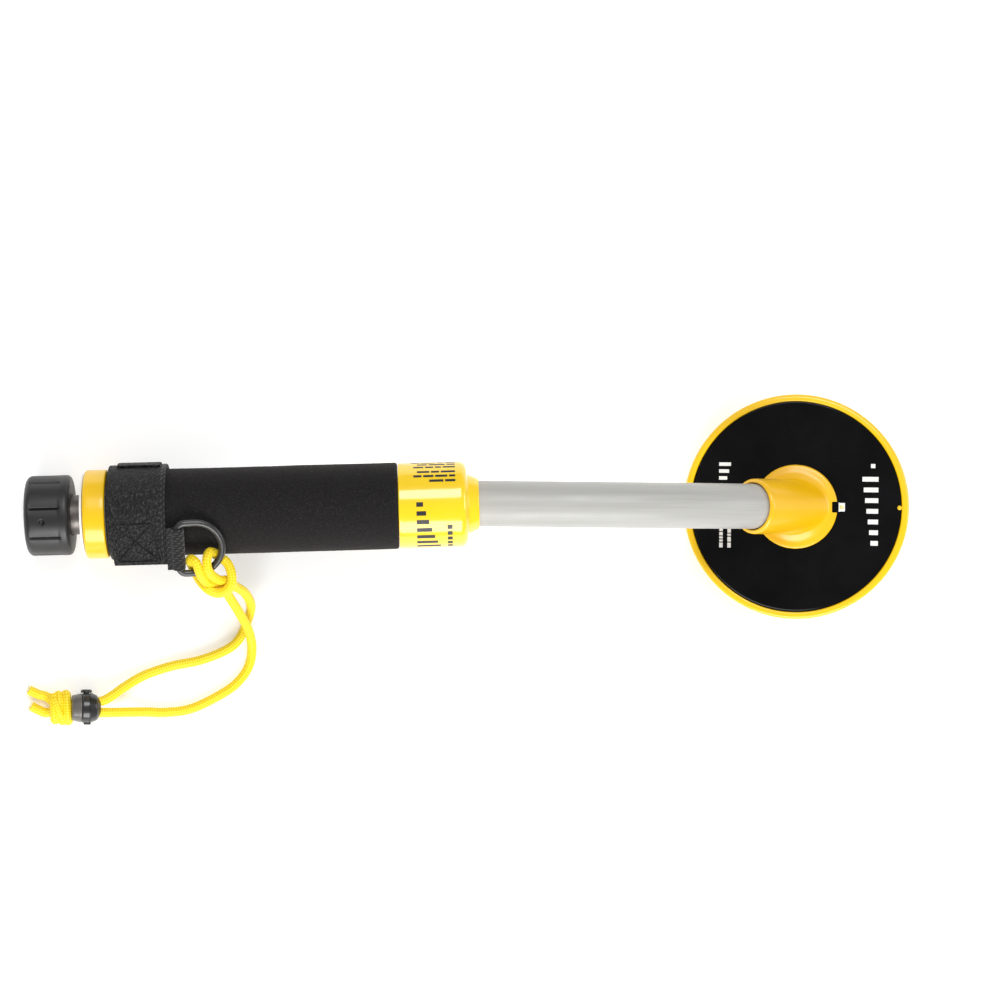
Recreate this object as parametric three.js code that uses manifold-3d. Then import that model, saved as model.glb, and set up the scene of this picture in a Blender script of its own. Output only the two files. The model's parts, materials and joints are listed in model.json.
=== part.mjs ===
// Hand-held underwater metal detector: a flat search coil on a bent tube, with a foam grip,
// a twist-knob battery cap, a wrist strap and a cord lanyard.
// Units are millimetres, +Z is up and the detector lies on a table at z = 0.
// The device frame has its X axis on the straight shaft, pointing at the coil, with x = 0 over
// the middle of the coil. The handle frame is the device frame turned slightly at the neck.
import * as THREE from 'three';
import { mergeVertices } from 'three/addons/utils/BufferGeometryUtils.js';
import Module from 'manifold-3d';

const wasm = await Module();
wasm.setup();

// ---- fits ----
const gap = 0.3;
const flange = 1.0;

// ---- search coil ----
const coilDiameter = 110;
const coilHeight = 14;
const coilRim = 3.5;
const coilFloor = 2;
const coilEdge = 2;
const coilTilt = 11.5;
const discThickness = 1.6;
const discDrop = 0.6;
const leadHole = 5;
const windingWidth = 5;
const windingHeight = 6;
const formerWall = 1;
const ledSize = [3.1, 4.2, 1];
const ledPlace = 22.6;

// ---- elbow boss ----
const axisHeight = 45;
const elbowDrop = 40;
const elbowDiameter = 26.8;
const elbowReach = 30.5;
const socketDepth = 18;
const bossFlangeDiameter = 41.2;
const bossFlangeHeight = 1.8;
const bossDome = 2;
const notchWidth = 5.3;
const notchDepth = 2.7;

// ---- shaft tube and lead ----
const tubeDiameter = 21.7;
const tubeWall = 2.7;
const bendRadius = 110;
const leadDiameter = 4.4;

// ---- handle, along the handle's X axis ----
const handleYaw = 2.2;
const neckFront = -155.4;
const neckLength = 5.5;
const couplingLength = 32.3;
const couplingDiameter = 40.3;
const neckDiameters = [28.8, 23.1];
const tubeInsertion = 22;
const spigotLength = 14;
const gripLength = 135.6;
const gripDiameter = 41;
const handleTubeDiameter = 35;
const handleTubeWall = 1.7;
const collarLength = 10.4;
const collarDiameter = 41.7;

// ---- battery cap and knob ----
const capDiameter = 38.2;
const capPlugLength = 19.6;
const oRing = 2.6;
const grooveWidth = 3.4;
const grooveDepth = 2.9;
const bushDiameter = 14;
const studDiameter = 8;
const shankDiameter = 18.6;
const shankReach = 5.2;
const shankSink = 4;
const knobDiameter = 37.7;
const knobLength = 20.9;
const knobLobes = 8;
const knobRecess = 8;
const setScrewDiameter = 3;
const contactDiameter = 22;
const contactThickness = 1.6;
const threadPitch = 1.25;
const knobTurns = 1;
const springLength = 6;
const springWire = 0.7;

// ---- battery and electronics ----
const battery = [46.4, 26.2, 17];
const terminalHeight = 3;
const terminalSpacing = 12.7;
const carrierEnd = 2.2;
const bulkheadThickness = 2.5;
const pinDiameter = 3;
const boardSize = [38, 27, 1.6];
const boardLevel = -2;
const motorDiameter = 10;
const motorLength = 16;
const weightRadius = 4.3;

// ---- wrist strap and D-ring ----
const strapWidth = 27;
const strapStart = 0.9;
const strapLayer = 0.8;
const flapAngle = 20;
const flapLength = 17.5;
const wrapAngle = 200;
const webbingThickness = 1.2;
const webbingWidth = 20;
const webbingReach = 5.4;
const ringWire = 3.3;
const ringWidth = 24.8;
const ringCorner = 3.5;
const ringShoulder = 4.5;
const ringDroop = 6;
const ringOffset = 9.5;
const hitchAngle = 62;
const hitchLength = 9;

// ---- lanyard, in the table frame ----
const cordDiameter = 4.4;
const lockDiameter = 14.4;
const lockLength = 13.6;
const plungerDiameter = 5.6;
const plungerTravel = 2;

const X = new THREE.Vector3(1, 0, 0);
const Y = new THREE.Vector3(0, 1, 0);
const Z = new THREE.Vector3(0, 0, 1);
const rad = THREE.MathUtils.degToRad;

// ---- materials ----
const paint = (color, roughness, metalness = 0) =>
  new THREE.MeshStandardMaterial({ color, roughness, metalness });
const yellowShell = () => paint(0xf7cf12, 0.35);
const greyPvc = () => paint(0xc8c7bf, 0.45);
const whitePlastic = () => paint(0xe9e7e1, 0.5);
const blackPlastic = () => paint(0x2c2c2c, 0.5);
const blackFoam = () => paint(0x252323, 0.95);
const blackFabric = () => paint(0x333232, 0.9);
const blackRubber = () => paint(0x171717, 0.7);
const blackEpoxy = () => paint(0x0b0b0c, 0.12);
const steel = () => paint(0x8d8a87, 0.3, 1);
const brass = () => paint(0xc7a44c, 0.3, 1);
const copper = () => paint(0xb06a35, 0.4, 1);
const greenBoard = () => paint(0x1d5a34, 0.5);
const cordYellow = () => paint(0xf2dc1e, 0.7);

// ---- helpers ----
function node(name, geometry, material, place) {
  const mesh = new THREE.Mesh(geometry, material);
  mesh.name = name;
  if (place) mesh.position.set(...place);
  return mesh;
}

function solidOf(geometry) {
  const plain = geometry.clone();
  for (const name of Object.keys(plain.attributes)) {
    if (name !== 'position') plain.deleteAttribute(name);
  }
  const merged = mergeVertices(plain, 1e-4);
  return new wasm.Manifold(new wasm.Mesh({
    numProp: 3,
    vertProperties: new Float32Array(merged.attributes.position.array),
    triVerts: new Uint32Array(merged.index.array),
  }));
}

function geometryOf(solid) {
  const mesh = solid.getMesh();
  const geometry = new THREE.BufferGeometry();
  geometry.setAttribute('position', new THREE.BufferAttribute(new Float32Array(mesh.vertProperties), 3));
  geometry.setIndex(new THREE.BufferAttribute(new Uint32Array(mesh.triVerts), 1));
  geometry.computeVertexNormals();
  return geometry;
}

const cut = (body, ...tools) =>
  geometryOf(tools.reduce((solid, tool) => solid.subtract(solidOf(tool)), solidOf(body)));
const join = (body, ...more) =>
  geometryOf(more.reduce((solid, piece) => solid.add(solidOf(piece)), solidOf(body)));
const common = (body, tool) => geometryOf(solidOf(body).intersect(solidOf(tool)));

// Profile points are [radius, height]; the turned solid stands on the Z axis.
function turned(points, sides) {
  const profile = points.map(([r, z]) => new THREE.Vector2(r, z));
  if (THREE.ShapeUtils.isClockWise(profile)) profile.reverse();
  if (profile[0].x > 0) profile.push(profile[0].clone());
  return new THREE.LatheGeometry(profile, sides).rotateX(Math.PI / 2);
}

// The same with its axis on X: profile points are [x, radius].
function turnedX(points, sides) {
  return turned(points.map(([x, r]) => [r, x]), sides).rotateY(Math.PI / 2);
}

// A ring or disc on the X axis from x = start to x = end.
function barrelX(start, end, radius, bore, sides) {
  const inner = bore ?? 0;
  return turnedX([[start, inner], [start, radius], [end, radius], [end, inner]], sides);
}

function block(low, high) {
  const size = high.map((value, i) => value - low[i]);
  const middle = high.map((value, i) => (value + low[i]) / 2);
  return new THREE.BoxGeometry(...size).translate(...middle);
}

function sweep(shape, path, steps, sides) {
  // A full circle gets two points for each curve segment.
  return new THREE.ExtrudeGeometry(shape, {
    steps, curveSegments: Math.round(sides / 2), bevelEnabled: false, extrudePath: path,
  });
}

function roundSection(radius, bore) {
  const shape = new THREE.Shape();
  shape.absarc(0, 0, radius, 0, 2 * Math.PI);
  if (bore) {
    const hole = new THREE.Path();
    hole.absarc(0, 0, bore, 0, 2 * Math.PI, true);
    shape.holes.push(hole);
  }
  return shape;
}

// A torus on the X axis, as an O-ring is.
function oRingAt(x, meanRadius, section) {
  const points = [];
  for (let i = 0; i < 6; i += 1) {
    const angle = i * Math.PI / 3;
    points.push([x + section * Math.cos(angle), meanRadius - section * Math.sin(angle)]);
  }
  return turnedX(points, 24);
}

class Arc extends THREE.Curve {
  constructor(centre, from, to, radius, angle) {
    super();
    Object.assign(this, { centre, from, to, radius, angle });
  }

  getPoint(t, target = new THREE.Vector3()) {
    const turn = this.angle * t;
    return target.copy(this.centre)
      .addScaledVector(this.from, this.radius * Math.cos(turn))
      .addScaledVector(this.to, this.radius * Math.sin(turn));
  }
}

class Helix extends THREE.Curve {
  constructor(radius, length, turns) {
    super();
    Object.assign(this, { radius, length, turns });
  }

  getPoint(t, target = new THREE.Vector3()) {
    const turn = 2 * Math.PI * this.turns * t;
    return target.set(this.length * t, this.radius * Math.cos(turn), this.radius * Math.sin(turn));
  }
}

function coilSpring(radius, wire, length, turns) {
  return sweep(roundSection(wire / 2), new Helix(radius, length, turns), Math.round(turns * 9), 6);
}

// ---- search coil, in the coil frame: z = 0 on its underside ----
const coilRadius = coilDiameter / 2;
const discRadius = coilRadius - coilRim;
const discTop = coilHeight - discDrop;
const discBottom = discTop - discThickness;
const bossBase = discTop + gap;
const flangePlane = bossBase + bossFlangeHeight;

function coilShell() {
  const soft = coilEdge * 0.3;
  const outline = [
    [0, coilFloor], [discRadius, coilFloor], [discRadius, coilHeight], [coilRadius - soft, coilHeight],
    [coilRadius, coilHeight - soft], [coilRadius, coilEdge], [coilRadius - soft, soft],
    [coilRadius - coilEdge, 0], [0, 0],
  ];
  return node('coil_shell', turned(outline, 56), yellowShell());
}

function coilFormer() {
  const outer = discRadius - 1.2;
  const core = outer - windingWidth - 2 * gap;
  const low = coilFloor + gap;
  const groove = [low + formerWall, low + formerWall + windingHeight + 2 * gap];
  const high = groove[1] + formerWall;
  const outline = [
    [core - 3, low], [outer, low], [outer, groove[0]], [core, groove[0]],
    [core, groove[1]], [outer, groove[1]], [outer, high], [core - 3, high],
  ];
  return node('coil_former', turned(outline, 40), whitePlastic());
}

function coilWinding() {
  const outer = discRadius - 1.2 - gap;
  const low = coilFloor + gap + formerWall + gap;
  const outline = [
    [outer - windingWidth, low], [outer, low],
    [outer, low + windingHeight], [outer - windingWidth, low + windingHeight],
  ];
  return node('coil_winding', turned(outline, 40), copper());
}

function coilDisc() {
  const outer = discRadius - gap;
  const outline = [[leadHole, discBottom], [outer, discBottom], [outer, discTop], [leadHole, discTop]];
  return node('coil_disc', turned(outline, 56), blackEpoxy());
}

function indicatorLed() {
  return node('indicator_led', new THREE.BoxGeometry(...ledSize), whitePlastic(),
    [ledPlace, 0, discTop + gap + ledSize[2] / 2]);
}

// The elbow's axis leans back from the coil's own axis by this angle.
const elbowLean = rad(90 - elbowDrop - coilTilt);
const elbowSpot = (distance) => [-distance * Math.sin(elbowLean), 0, flangePlane + distance * Math.cos(elbowLean)];

function leaningCylinder(radius, from, to, sides) {
  return new THREE.CylinderGeometry(radius, radius, to - from, sides)
    .rotateX(Math.PI / 2)
    .translate(0, 0, (from + to) / 2)
    .rotateY(-elbowLean)
    .translate(0, 0, flangePlane);
}

function elbowBoss() {
  const r = bossFlangeDiameter / 2;
  const neck = elbowDiameter / 2;
  const base = turned([
    [0, bossBase], [r, bossBase], [r, flangePlane - 0.5], [r - 0.5, flangePlane],
    [neck + 4, flangePlane + bossDome * 0.4], [neck, flangePlane + bossDome], [0, flangePlane + bossDome],
  ], 40);
  const barrel = leaningCylinder(neck, -20, elbowReach, 32);
  const above = block([-60, -30, bossBase], [60, 30, 80]);
  const body = join(base, common(barrel, above));
  const socket = leaningCylinder(tubeDiameter / 2 + gap, elbowReach - socketDepth, elbowReach + 5, 32);
  const passage = leaningCylinder(tubeDiameter / 2 - tubeWall, -2, elbowReach, 20);
  const floorHole = new THREE.CylinderGeometry(leadHole + 1, leadHole + 1, 12, 20)
    .rotateX(Math.PI / 2).translate(0, 0, bossBase);
  const notch = block([r - notchDepth, -notchWidth / 2, bossBase - 1], [r + 1, notchWidth / 2, flangePlane + 3]);
  return node('elbow_boss', cut(body, socket, passage, floorHole, notch), yellowShell());
}

function searchCoil() {
  const coil = new THREE.Group();
  coil.add(coilShell(), coilFormer(), coilWinding(), coilDisc(), indicatorLed(), elbowBoss());
  coil.rotation.y = -rad(coilTilt);
  const lift = new THREE.Vector3(0, 0, -flangePlane).applyEuler(coil.rotation);
  coil.position.set(lift.x, 0, lift.z - axisHeight);
  return coil;
}

// ---- shaft tube and lead, in the device frame ----
const drop = rad(elbowDrop);
const flangeCentre = new THREE.Vector3(0, 0, -axisHeight);
const alongElbow = new THREE.Vector3(Math.cos(drop), 0, -Math.sin(drop));
const cornerX = -axisHeight / Math.tan(drop);
const bendTangent = bendRadius * Math.tan(drop / 2);
const bendStart = new THREE.Vector3(cornerX - bendTangent, 0, 0);

function shaftPath(startX, endDistance) {
  const path = new THREE.CurvePath();
  const bend = new Arc(bendStart.clone().addScaledVector(Z, -bendRadius), Z, X, bendRadius, drop);
  const end = flangeCentre.clone().addScaledVector(alongElbow, -endDistance);
  path.add(new THREE.LineCurve3(new THREE.Vector3(startX, 0, 0), bendStart));
  path.add(bend);
  path.add(new THREE.LineCurve3(bend.getPoint(1), end));
  return path;
}

function shaftTube() {
  const path = shaftPath(neckFront - tubeInsertion, elbowReach - socketDepth + gap);
  const section = roundSection(tubeDiameter / 2, tubeDiameter / 2 - tubeWall);
  return node('shaft_tube', sweep(section, path, 20, 20), greyPvc());
}

function coilLead() {
  const path = shaftPath(boardFront + 2 * gap, 6);
  const down = new THREE.Vector3(Math.sin(rad(coilTilt)), 0, -Math.cos(rad(coilTilt)));
  const last = path.getPoint(1);
  const inside = flangeCentre.clone().addScaledVector(down, flangePlane - discBottom + 4);
  path.add(new THREE.QuadraticBezierCurve3(last, flangeCentre.clone(), inside));
  return node('coil_lead', sweep(roundSection(leadDiameter / 2), path, 26, 8), blackRubber());
}

// ---- handle, in the handle frame ----
const couplingFront = neckFront - neckLength;
const couplingRear = couplingFront - couplingLength;
const gripFront = couplingRear - gap;
const gripRear = gripFront - gripLength;
const collarFront = gripRear - gap;
const collarRear = collarFront - collarLength;
const tubeBore = handleTubeDiameter / 2 - handleTubeWall;
const innerFit = tubeBore - gap;
const spigotRear = couplingRear - spigotLength;

// Turns a tool from the device frame into the handle frame.
function intoHandle(geometry) {
  return geometry.translate(-neckFront, 0, 0).rotateZ(-rad(handleYaw)).translate(neckFront, 0, 0);
}

function frontCoupling() {
  const r = couplingDiameter / 2;
  const round = 4;
  const shoulder = [];
  for (let i = 0; i <= 3; i += 1) {
    const angle = rad(30 * i);
    shoulder.push([couplingFront - round * (1 - Math.sin(angle)), r - round * (1 - Math.cos(angle))]);
  }
  const outline = [
    [spigotRear, tubeDiameter / 2 - tubeWall], [spigotRear, innerFit], [couplingRear, innerFit],
    [couplingRear, r], ...shoulder, [couplingFront, neckDiameters[0] / 2],
    [neckFront, neckDiameters[1] / 2], [neckFront, tubeDiameter / 2 - tubeWall],
  ];
  const seat = intoHandle(barrelX(neckFront - tubeInsertion - gap, neckFront + 5, tubeDiameter / 2 + gap, 0, 32));
  return node('front_coupling', cut(turnedX(outline, 36), seat), yellowShell());
}

function handleTube() {
  const tube = barrelX(collarRear + gap, gripFront, handleTubeDiameter / 2, tubeBore, 32);
  return node('handle_tube', tube, whitePlastic());
}

function foamGrip() {
  const sleeve = barrelX(gripRear, gripFront, gripDiameter / 2, handleTubeDiameter / 2 + gap, 36);
  return node('foam_grip', sleeve, blackFoam());
}

function rearCollar() {
  const r = collarDiameter / 2;
  const bore = handleTubeDiameter / 2 + gap;
  const outline = [
    [collarRear, bore], [collarRear, r - 1], [collarRear + 1, r],
    [collarFront - 1, r], [collarFront, r - 1], [collarFront, bore],
  ];
  return node('rear_collar', turnedX(outline, 36), yellowShell());
}

// ---- battery cap, in the handle frame ----
const capFront = collarRear - gap;
const capRear = capFront - flange;
const plugFront = capFront + capPlugLength;
const knobFront = capRear - shankReach;
const knobRear = knobFront - knobLength;
const shankFront = capRear + shankSink;
const counterbore = shankFront + 3;
const grooves = [capFront + 6.5, capFront + 13.5];
const contactRear = plugFront + 2.5;
const contactFront = contactRear + contactThickness;
const springRear = contactFront + gap + springWire;
const terminalTip = springRear + springLength + springWire + threadPitch * knobTurns + gap;
const batteryRear = terminalTip + terminalHeight;
const batteryFront = batteryRear + battery[0];
const carrierRear = plugFront + gap;
const carrierFront = batteryFront + gap + carrierEnd;
const bulkheadRear = carrierFront + 3;
const bulkheadFront = bulkheadRear + bulkheadThickness;
const boardRear = bulkheadFront + 2;
const boardFront = boardRear + boardSize[0];

function endPlug() {
  const bore = bushDiameter / 2 + gap;
  const body = [[capRear, shankDiameter / 2 + gap], [capRear, capDiameter / 2], [capFront, capDiameter / 2]];
  body.push([capFront, innerFit]);
  for (const middle of grooves) {
    body.push([middle - grooveWidth / 2, innerFit], [middle - grooveWidth / 2, innerFit - grooveDepth]);
    body.push([middle + grooveWidth / 2, innerFit - grooveDepth], [middle + grooveWidth / 2, innerFit]);
  }
  body.push([plugFront, innerFit], [plugFront, bore], [counterbore, bore]);
  body.push([counterbore, shankDiameter / 2 + gap]);
  return node('end_plug', turnedX(body, 32), whitePlastic());
}

function plugSeals() {
  const section = oRing / 2;
  return grooves.map((middle, i) =>
    node(`plug_o_ring_${i + 1}`, oRingAt(middle, innerFit - section, section), blackRubber()));
}

function threadBush() {
  const bush = barrelX(counterbore + gap, plugFront - gap, bushDiameter / 2, studDiameter / 2 + gap, 20);
  return node('thread_bush', bush, brass());
}

function knobStud() {
  const shank = shankDiameter / 2;
  const stud = studDiameter / 2;
  const outline = [
    [knobFront - knobRecess, 0], [knobFront - knobRecess, shank], [shankFront, shank],
    [shankFront, stud], [contactRear - gap, stud], [contactRear - gap, 0],
  ];
  return node('knob_stud', turnedX(outline, 24), steel());
}

function knobGrip() {
  const lobes = new THREE.Shape();
  const steps = knobLobes * 6;
  for (let i = 0; i < steps; i += 1) {
    const angle = 2 * Math.PI * i / steps;
    const r = knobDiameter / 2 - 0.5 * (1 - Math.abs(Math.sin(knobLobes * angle / 2)));
    lobes[i ? 'lineTo' : 'moveTo'](r * Math.cos(angle), r * Math.sin(angle));
  }
  const bar = new THREE.ExtrudeGeometry(lobes, {
    depth: knobLength - 4, bevelEnabled: true, bevelThickness: 2, bevelSize: 2, bevelOffset: -2, bevelSegments: 2,
  }).translate(0, 0, 2).rotateY(Math.PI / 2).translate(knobRear, 0, 0);
  const recess = barrelX(knobFront - knobRecess - gap, knobFront + 1, shankDiameter / 2 + gap, 0, 24);
  const screwHole = new THREE.CylinderGeometry(setScrewDiameter / 2 + gap, setScrewDiameter / 2 + gap, knobDiameter, 12)
    .rotateX(Math.PI / 2).translate(knobFront - knobRecess / 2, 0, knobDiameter / 2);
  return node('knob', cut(bar, recess, screwHole), blackPlastic());
}

function knobSetScrew() {
  const low = shankDiameter / 2 + gap;
  const length = knobDiameter / 2 - 2 - low;
  const screw = new THREE.CylinderGeometry(setScrewDiameter / 2, setScrewDiameter / 2, length, 12)
    .rotateX(Math.PI / 2).translate(knobFront - knobRecess / 2, 0, low + length / 2);
  return node('knob_set_screw', screw, steel());
}

function contactDisc() {
  return node('contact_disc', barrelX(contactRear, contactFront, contactDiameter / 2, 0, 24), greenBoard());
}

function contactSprings() {
  return [-1, 1].map((side, i) =>
    node(`contact_spring_${i + 1}`, coilSpring(2, springWire, springLength, 3.5), steel(),
      [springRear, side * terminalSpacing / 2, 0]));
}

function batteryBlock() {
  const [length, width, height] = battery;
  const round = 2.5;
  const half = [width / 2, height / 2];
  const section = new THREE.Shape();
  section.absarc(half[0] - round, half[1] - round, round, 0, Math.PI / 2);
  section.absarc(-half[0] + round, half[1] - round, round, Math.PI / 2, Math.PI);
  section.absarc(-half[0] + round, -half[1] + round, round, Math.PI, 1.5 * Math.PI);
  section.absarc(half[0] - round, -half[1] + round, round, 1.5 * Math.PI, 2 * Math.PI);
  const can = new THREE.ExtrudeGeometry(section, { depth: length, curveSegments: 3, bevelEnabled: false })
    .rotateX(Math.PI / 2).rotateZ(Math.PI / 2).translate(batteryRear, 0, 0);
  const terminals = [[-1, 2.9], [1, 4.2]].map(([side, r]) =>
    barrelX(terminalTip, batteryRear + 1, r, 0, 12).translate(0, side * terminalSpacing / 2, 0));
  return node('battery', join(can, ...terminals), blackPlastic());
}

function batteryCarrier() {
  const [, width, height] = battery;
  const body = barrelX(carrierRear, carrierFront, innerFit, 0, 32);
  const bay = block(
    [batteryRear - gap, -width / 2 - gap, -height / 2 - gap],
    [batteryFront + gap, width / 2 + gap, height / 2 + gap],
  );
  const mouth = barrelX(carrierRear - 1, batteryRear, contactDiameter / 2 + gap, 0, 24);
  return node('battery_carrier', cut(body, bay, mouth), blackPlastic());
}

// ---- electronics, in the handle frame ----
function bulkhead() {
  const disc = barrelX(bulkheadRear, bulkheadFront, innerFit, 0, 32);
  const holes = [-1, 1].map((side) =>
    barrelX(bulkheadRear - 1, bulkheadFront + 1, pinDiameter / 2 + gap, 0, 12)
      .translate(0, side * terminalSpacing / 2, 0));
  return node('bulkhead', cut(disc, ...holes), whitePlastic());
}

function bulkheadPins() {
  return [-1, 1].map((side, i) =>
    node(`bulkhead_pin_${i + 1}`, barrelX(carrierFront + 2 * gap, boardRear - gap, pinDiameter / 2, 0, 12), brass(),
      [0, side * terminalSpacing / 2, 0]));
}

function electronics() {
  const [length, width, thickness] = boardSize;
  const under = boardLevel - thickness - gap;
  const top = boardLevel + gap;
  const motorAxis = top + motorDiameter / 2;
  const motorFront = boardRear + 2 + motorLength;
  const board = node('main_board', new THREE.BoxGeometry(length, width, thickness), greenBoard(),
    [boardRear + length / 2, 0, boardLevel - thickness / 2]);
  const chip = node('control_chip', new THREE.BoxGeometry(7, 10, 1.6), blackPlastic(),
    [boardFront - 5, 0, top + 0.8]);
  const capacitor = node('pulse_capacitor', barrelX(boardRear + 2, boardRear + 14, 4, 0, 16), blackPlastic(),
    [0, -5, under - 4]);
  const buzzer = node('buzzer', new THREE.CylinderGeometry(6, 6, 5.5, 20).rotateX(Math.PI / 2), blackPlastic(),
    [boardFront - 9, 0, under - 2.75]);
  const motor = node('vibration_motor', barrelX(boardRear + 2, motorFront, motorDiameter / 2, 0, 20), steel(),
    [0, 0, motorAxis]);
  const shaft = barrelX(motorFront + gap, motorFront + 7, 0.9, 0, 10);
  const sector = new THREE.Shape();
  sector.absarc(0, 0, weightRadius, 0, Math.PI);
  const half = new THREE.ExtrudeGeometry(sector, { depth: 4.5, curveSegments: 10, bevelEnabled: false })
    .rotateY(Math.PI / 2).translate(motorFront + 1.5, 0, 0);
  const weight = node('motor_weight', join(shaft, half), steel(), [0, 0, motorAxis]);
  return [board, chip, capacitor, buzzer, motor, weight];
}

// ---- wrist strap, in the handle frame; the flap leaves the grip at a tangent ----
const strapRear = gripRear + strapStart;
const strapFront = strapRear + strapWidth;
const bandInner = gripDiameter / 2 + gap;
const wrapInner = bandInner + strapLayer + gap;
const wrapOuter = wrapInner + strapLayer;
const flap = rad(flapAngle);

// Extrudes an outline drawn in (y, z) along X.
function alongX(shape, start, end, segments) {
  return new THREE.ExtrudeGeometry(shape, { depth: end - start, curveSegments: segments, bevelEnabled: false })
    .applyMatrix4(new THREE.Matrix4().makeBasis(Y, Z, X)).translate(start, 0, 0);
}

// A point in (y, z): out from the tangent line by height, and along the flap by reach.
function flapPoint(height, reach) {
  return [
    -height * Math.sin(flap) - reach * Math.cos(flap),
    height * Math.cos(flap) - reach * Math.sin(flap),
  ];
}

function strapBand() {
  return node('strap_band', barrelX(strapRear, strapFront, bandInner + strapLayer, bandInner, 36), blackFabric());
}

function strapWrap() {
  const start = Math.PI / 2 + flap;
  const end = start - rad(wrapAngle);
  const shape = new THREE.Shape();
  shape.moveTo(...flapPoint(wrapInner, flapLength));
  shape.absarc(0, 0, wrapInner, start, end, true);
  shape.absarc(0, 0, wrapOuter, end, start, false);
  shape.lineTo(...flapPoint(wrapOuter, flapLength));
  return node('strap_wrap', alongX(shape, strapRear, strapFront, 22), blackFabric());
}

function strapFlap() {
  const high = wrapInner - gap;
  const shape = new THREE.Shape([
    flapPoint(high - strapLayer, 9.5), flapPoint(high, 7.5), flapPoint(high, flapLength),
    flapPoint(high - strapLayer, flapLength),
  ].map(([y, z]) => new THREE.Vector2(y, z)));
  return node('strap_flap', alongX(shape, strapRear, strapFront, 1), blackFabric());
}

function strapTab() {
  const inner = wrapOuter + gap;
  const shape = new THREE.Shape();
  shape.absarc(0, 0, inner, rad(20), rad(-22), true);
  shape.absarc(0, 0, inner + strapLayer, rad(-22), rad(20), false);
  return node('strap_tab', alongX(shape, strapRear + 4, strapFront - 3, 6), blackFabric());
}

// ---- webbing loop and D-ring; x runs forward from the ring's bar, y along the bar ----
const barX = strapFront + webbingReach;
const barHeight = bandInner + webbingThickness + gap + ringWire / 2;
const loopInner = ringWire / 2 + gap;
const loopOuter = loopInner + webbingThickness;
const ringArcX = ringCorner + ringShoulder;

function webbingLoop() {
  const tongue = -webbingReach + gap;
  const half = webbingThickness + gap / 2;
  const meet = -Math.sqrt(loopOuter ** 2 - half ** 2);
  const shape = new THREE.Shape();
  const angle = Math.atan2(half, meet);
  shape.moveTo(tongue, -half);
  shape.absarc(0, 0, loopOuter, -angle, angle, false);
  shape.lineTo(tongue, half);
  const eye = new THREE.Path();
  eye.absarc(0, 0, loopInner, 0, 2 * Math.PI, true);
  shape.holes.push(eye);
  const loop = new THREE.ExtrudeGeometry(shape, { depth: webbingWidth, curveSegments: 10, bevelEnabled: false })
    .rotateX(Math.PI / 2).translate(0, webbingWidth / 2, 0);
  return node('webbing_loop', loop, blackFabric());
}

function ringPath() {
  const half = ringWidth / 2;
  const path = new THREE.CurvePath();
  const arcCentre = new THREE.Vector3(ringArcX, 0, 0);
  const at = (x, y) => new THREE.Vector3(x, y, 0);
  const back = Y.clone().negate();
  const rear = X.clone().negate();
  path.add(new THREE.LineCurve3(at(0, 0.25), at(0, half - ringCorner)));
  path.add(new Arc(at(ringCorner, half - ringCorner), rear, Y, ringCorner, Math.PI / 2));
  path.add(new THREE.LineCurve3(at(ringCorner, half), at(arcCentre.x, half)));
  path.add(new Arc(arcCentre, Y, X, half, Math.PI / 2));
  path.add(new Arc(arcCentre, X, back, half, Math.PI / 2));
  path.add(new THREE.LineCurve3(at(arcCentre.x, -half), at(ringCorner, -half)));
  path.add(new Arc(at(ringCorner, -half + ringCorner), back, rear, ringCorner, Math.PI / 2));
  path.add(new THREE.LineCurve3(at(0, -half + ringCorner), at(0, -0.25)));
  return path;
}

function dRing() {
  return node('d_ring', sweep(roundSection(ringWire / 2), ringPath(), 44, 8), blackPlastic());
}

// The hitch is a sleeve of cord round the ring's arc.
function lanyardHitch() {
  const inner = ringWire / 2 + gap;
  const radius = ringWidth / 2;
  const spread = hitchLength / radius;
  const middle = rad(hitchAngle);
  const from = new THREE.Vector3(Math.cos(middle - spread / 2), -Math.sin(middle - spread / 2), 0);
  const to = new THREE.Vector3(-Math.sin(middle - spread / 2), -Math.cos(middle - spread / 2), 0);
  const path = new Arc(new THREE.Vector3(ringArcX, 0, 0), from, to, radius, spread);
  return node('lanyard_hitch', sweep(roundSection(inner + cordDiameter, inner), path, 4, 12), cordYellow());
}

function strapGear() {
  const gear = new THREE.Group();
  const [y, z] = flapPoint(barHeight, ringOffset);
  gear.position.set(barX, y, z);
  gear.rotation.x = flap;
  const ring = new THREE.Group();
  ring.rotation.y = rad(ringDroop);
  ring.add(dRing(), lanyardHitch());
  gear.add(webbingLoop(), ring);
  return [strapBand(), strapWrap(), strapFlap(), strapTab(), gear];
}

function handle() {
  const turnedPart = new THREE.Group();
  const pieces = new THREE.Group();
  pieces.add(frontCoupling(), handleTube(), foamGrip(), rearCollar());
  pieces.add(endPlug(), ...plugSeals(), threadBush(), knobStud(), knobGrip(), knobSetScrew());
  pieces.add(contactDisc(), ...contactSprings(), batteryBlock(), batteryCarrier());
  pieces.add(bulkhead(), ...bulkheadPins(), ...electronics(), ...strapGear());
  pieces.position.x = -neckFront;
  turnedPart.position.x = neckFront;
  turnedPart.rotation.z = rad(handleYaw);
  turnedPart.add(pieces);
  return turnedPart;
}

// ---- the device, set down on its coil's rear edge and its knob ----
function restTilt() {
  const tilt = rad(coilTilt);
  const edge = coilRadius - coilEdge;
  const low = {
    x: -edge * Math.cos(tilt) + flangePlane * Math.sin(tilt),
    z: -axisHeight - edge * Math.sin(tilt) - flangePlane * Math.cos(tilt),
  };
  const rears = [
    { x: knobRear + 2, z: -knobDiameter / 2 },
    { x: collarRear, z: -collarDiameter / 2 },
    { x: strapRear, z: -wrapOuter },
  ];
  return Math.min(...rears.map(({ x, z }) => Math.atan2(z - low.z, low.x - x)));
}

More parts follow.
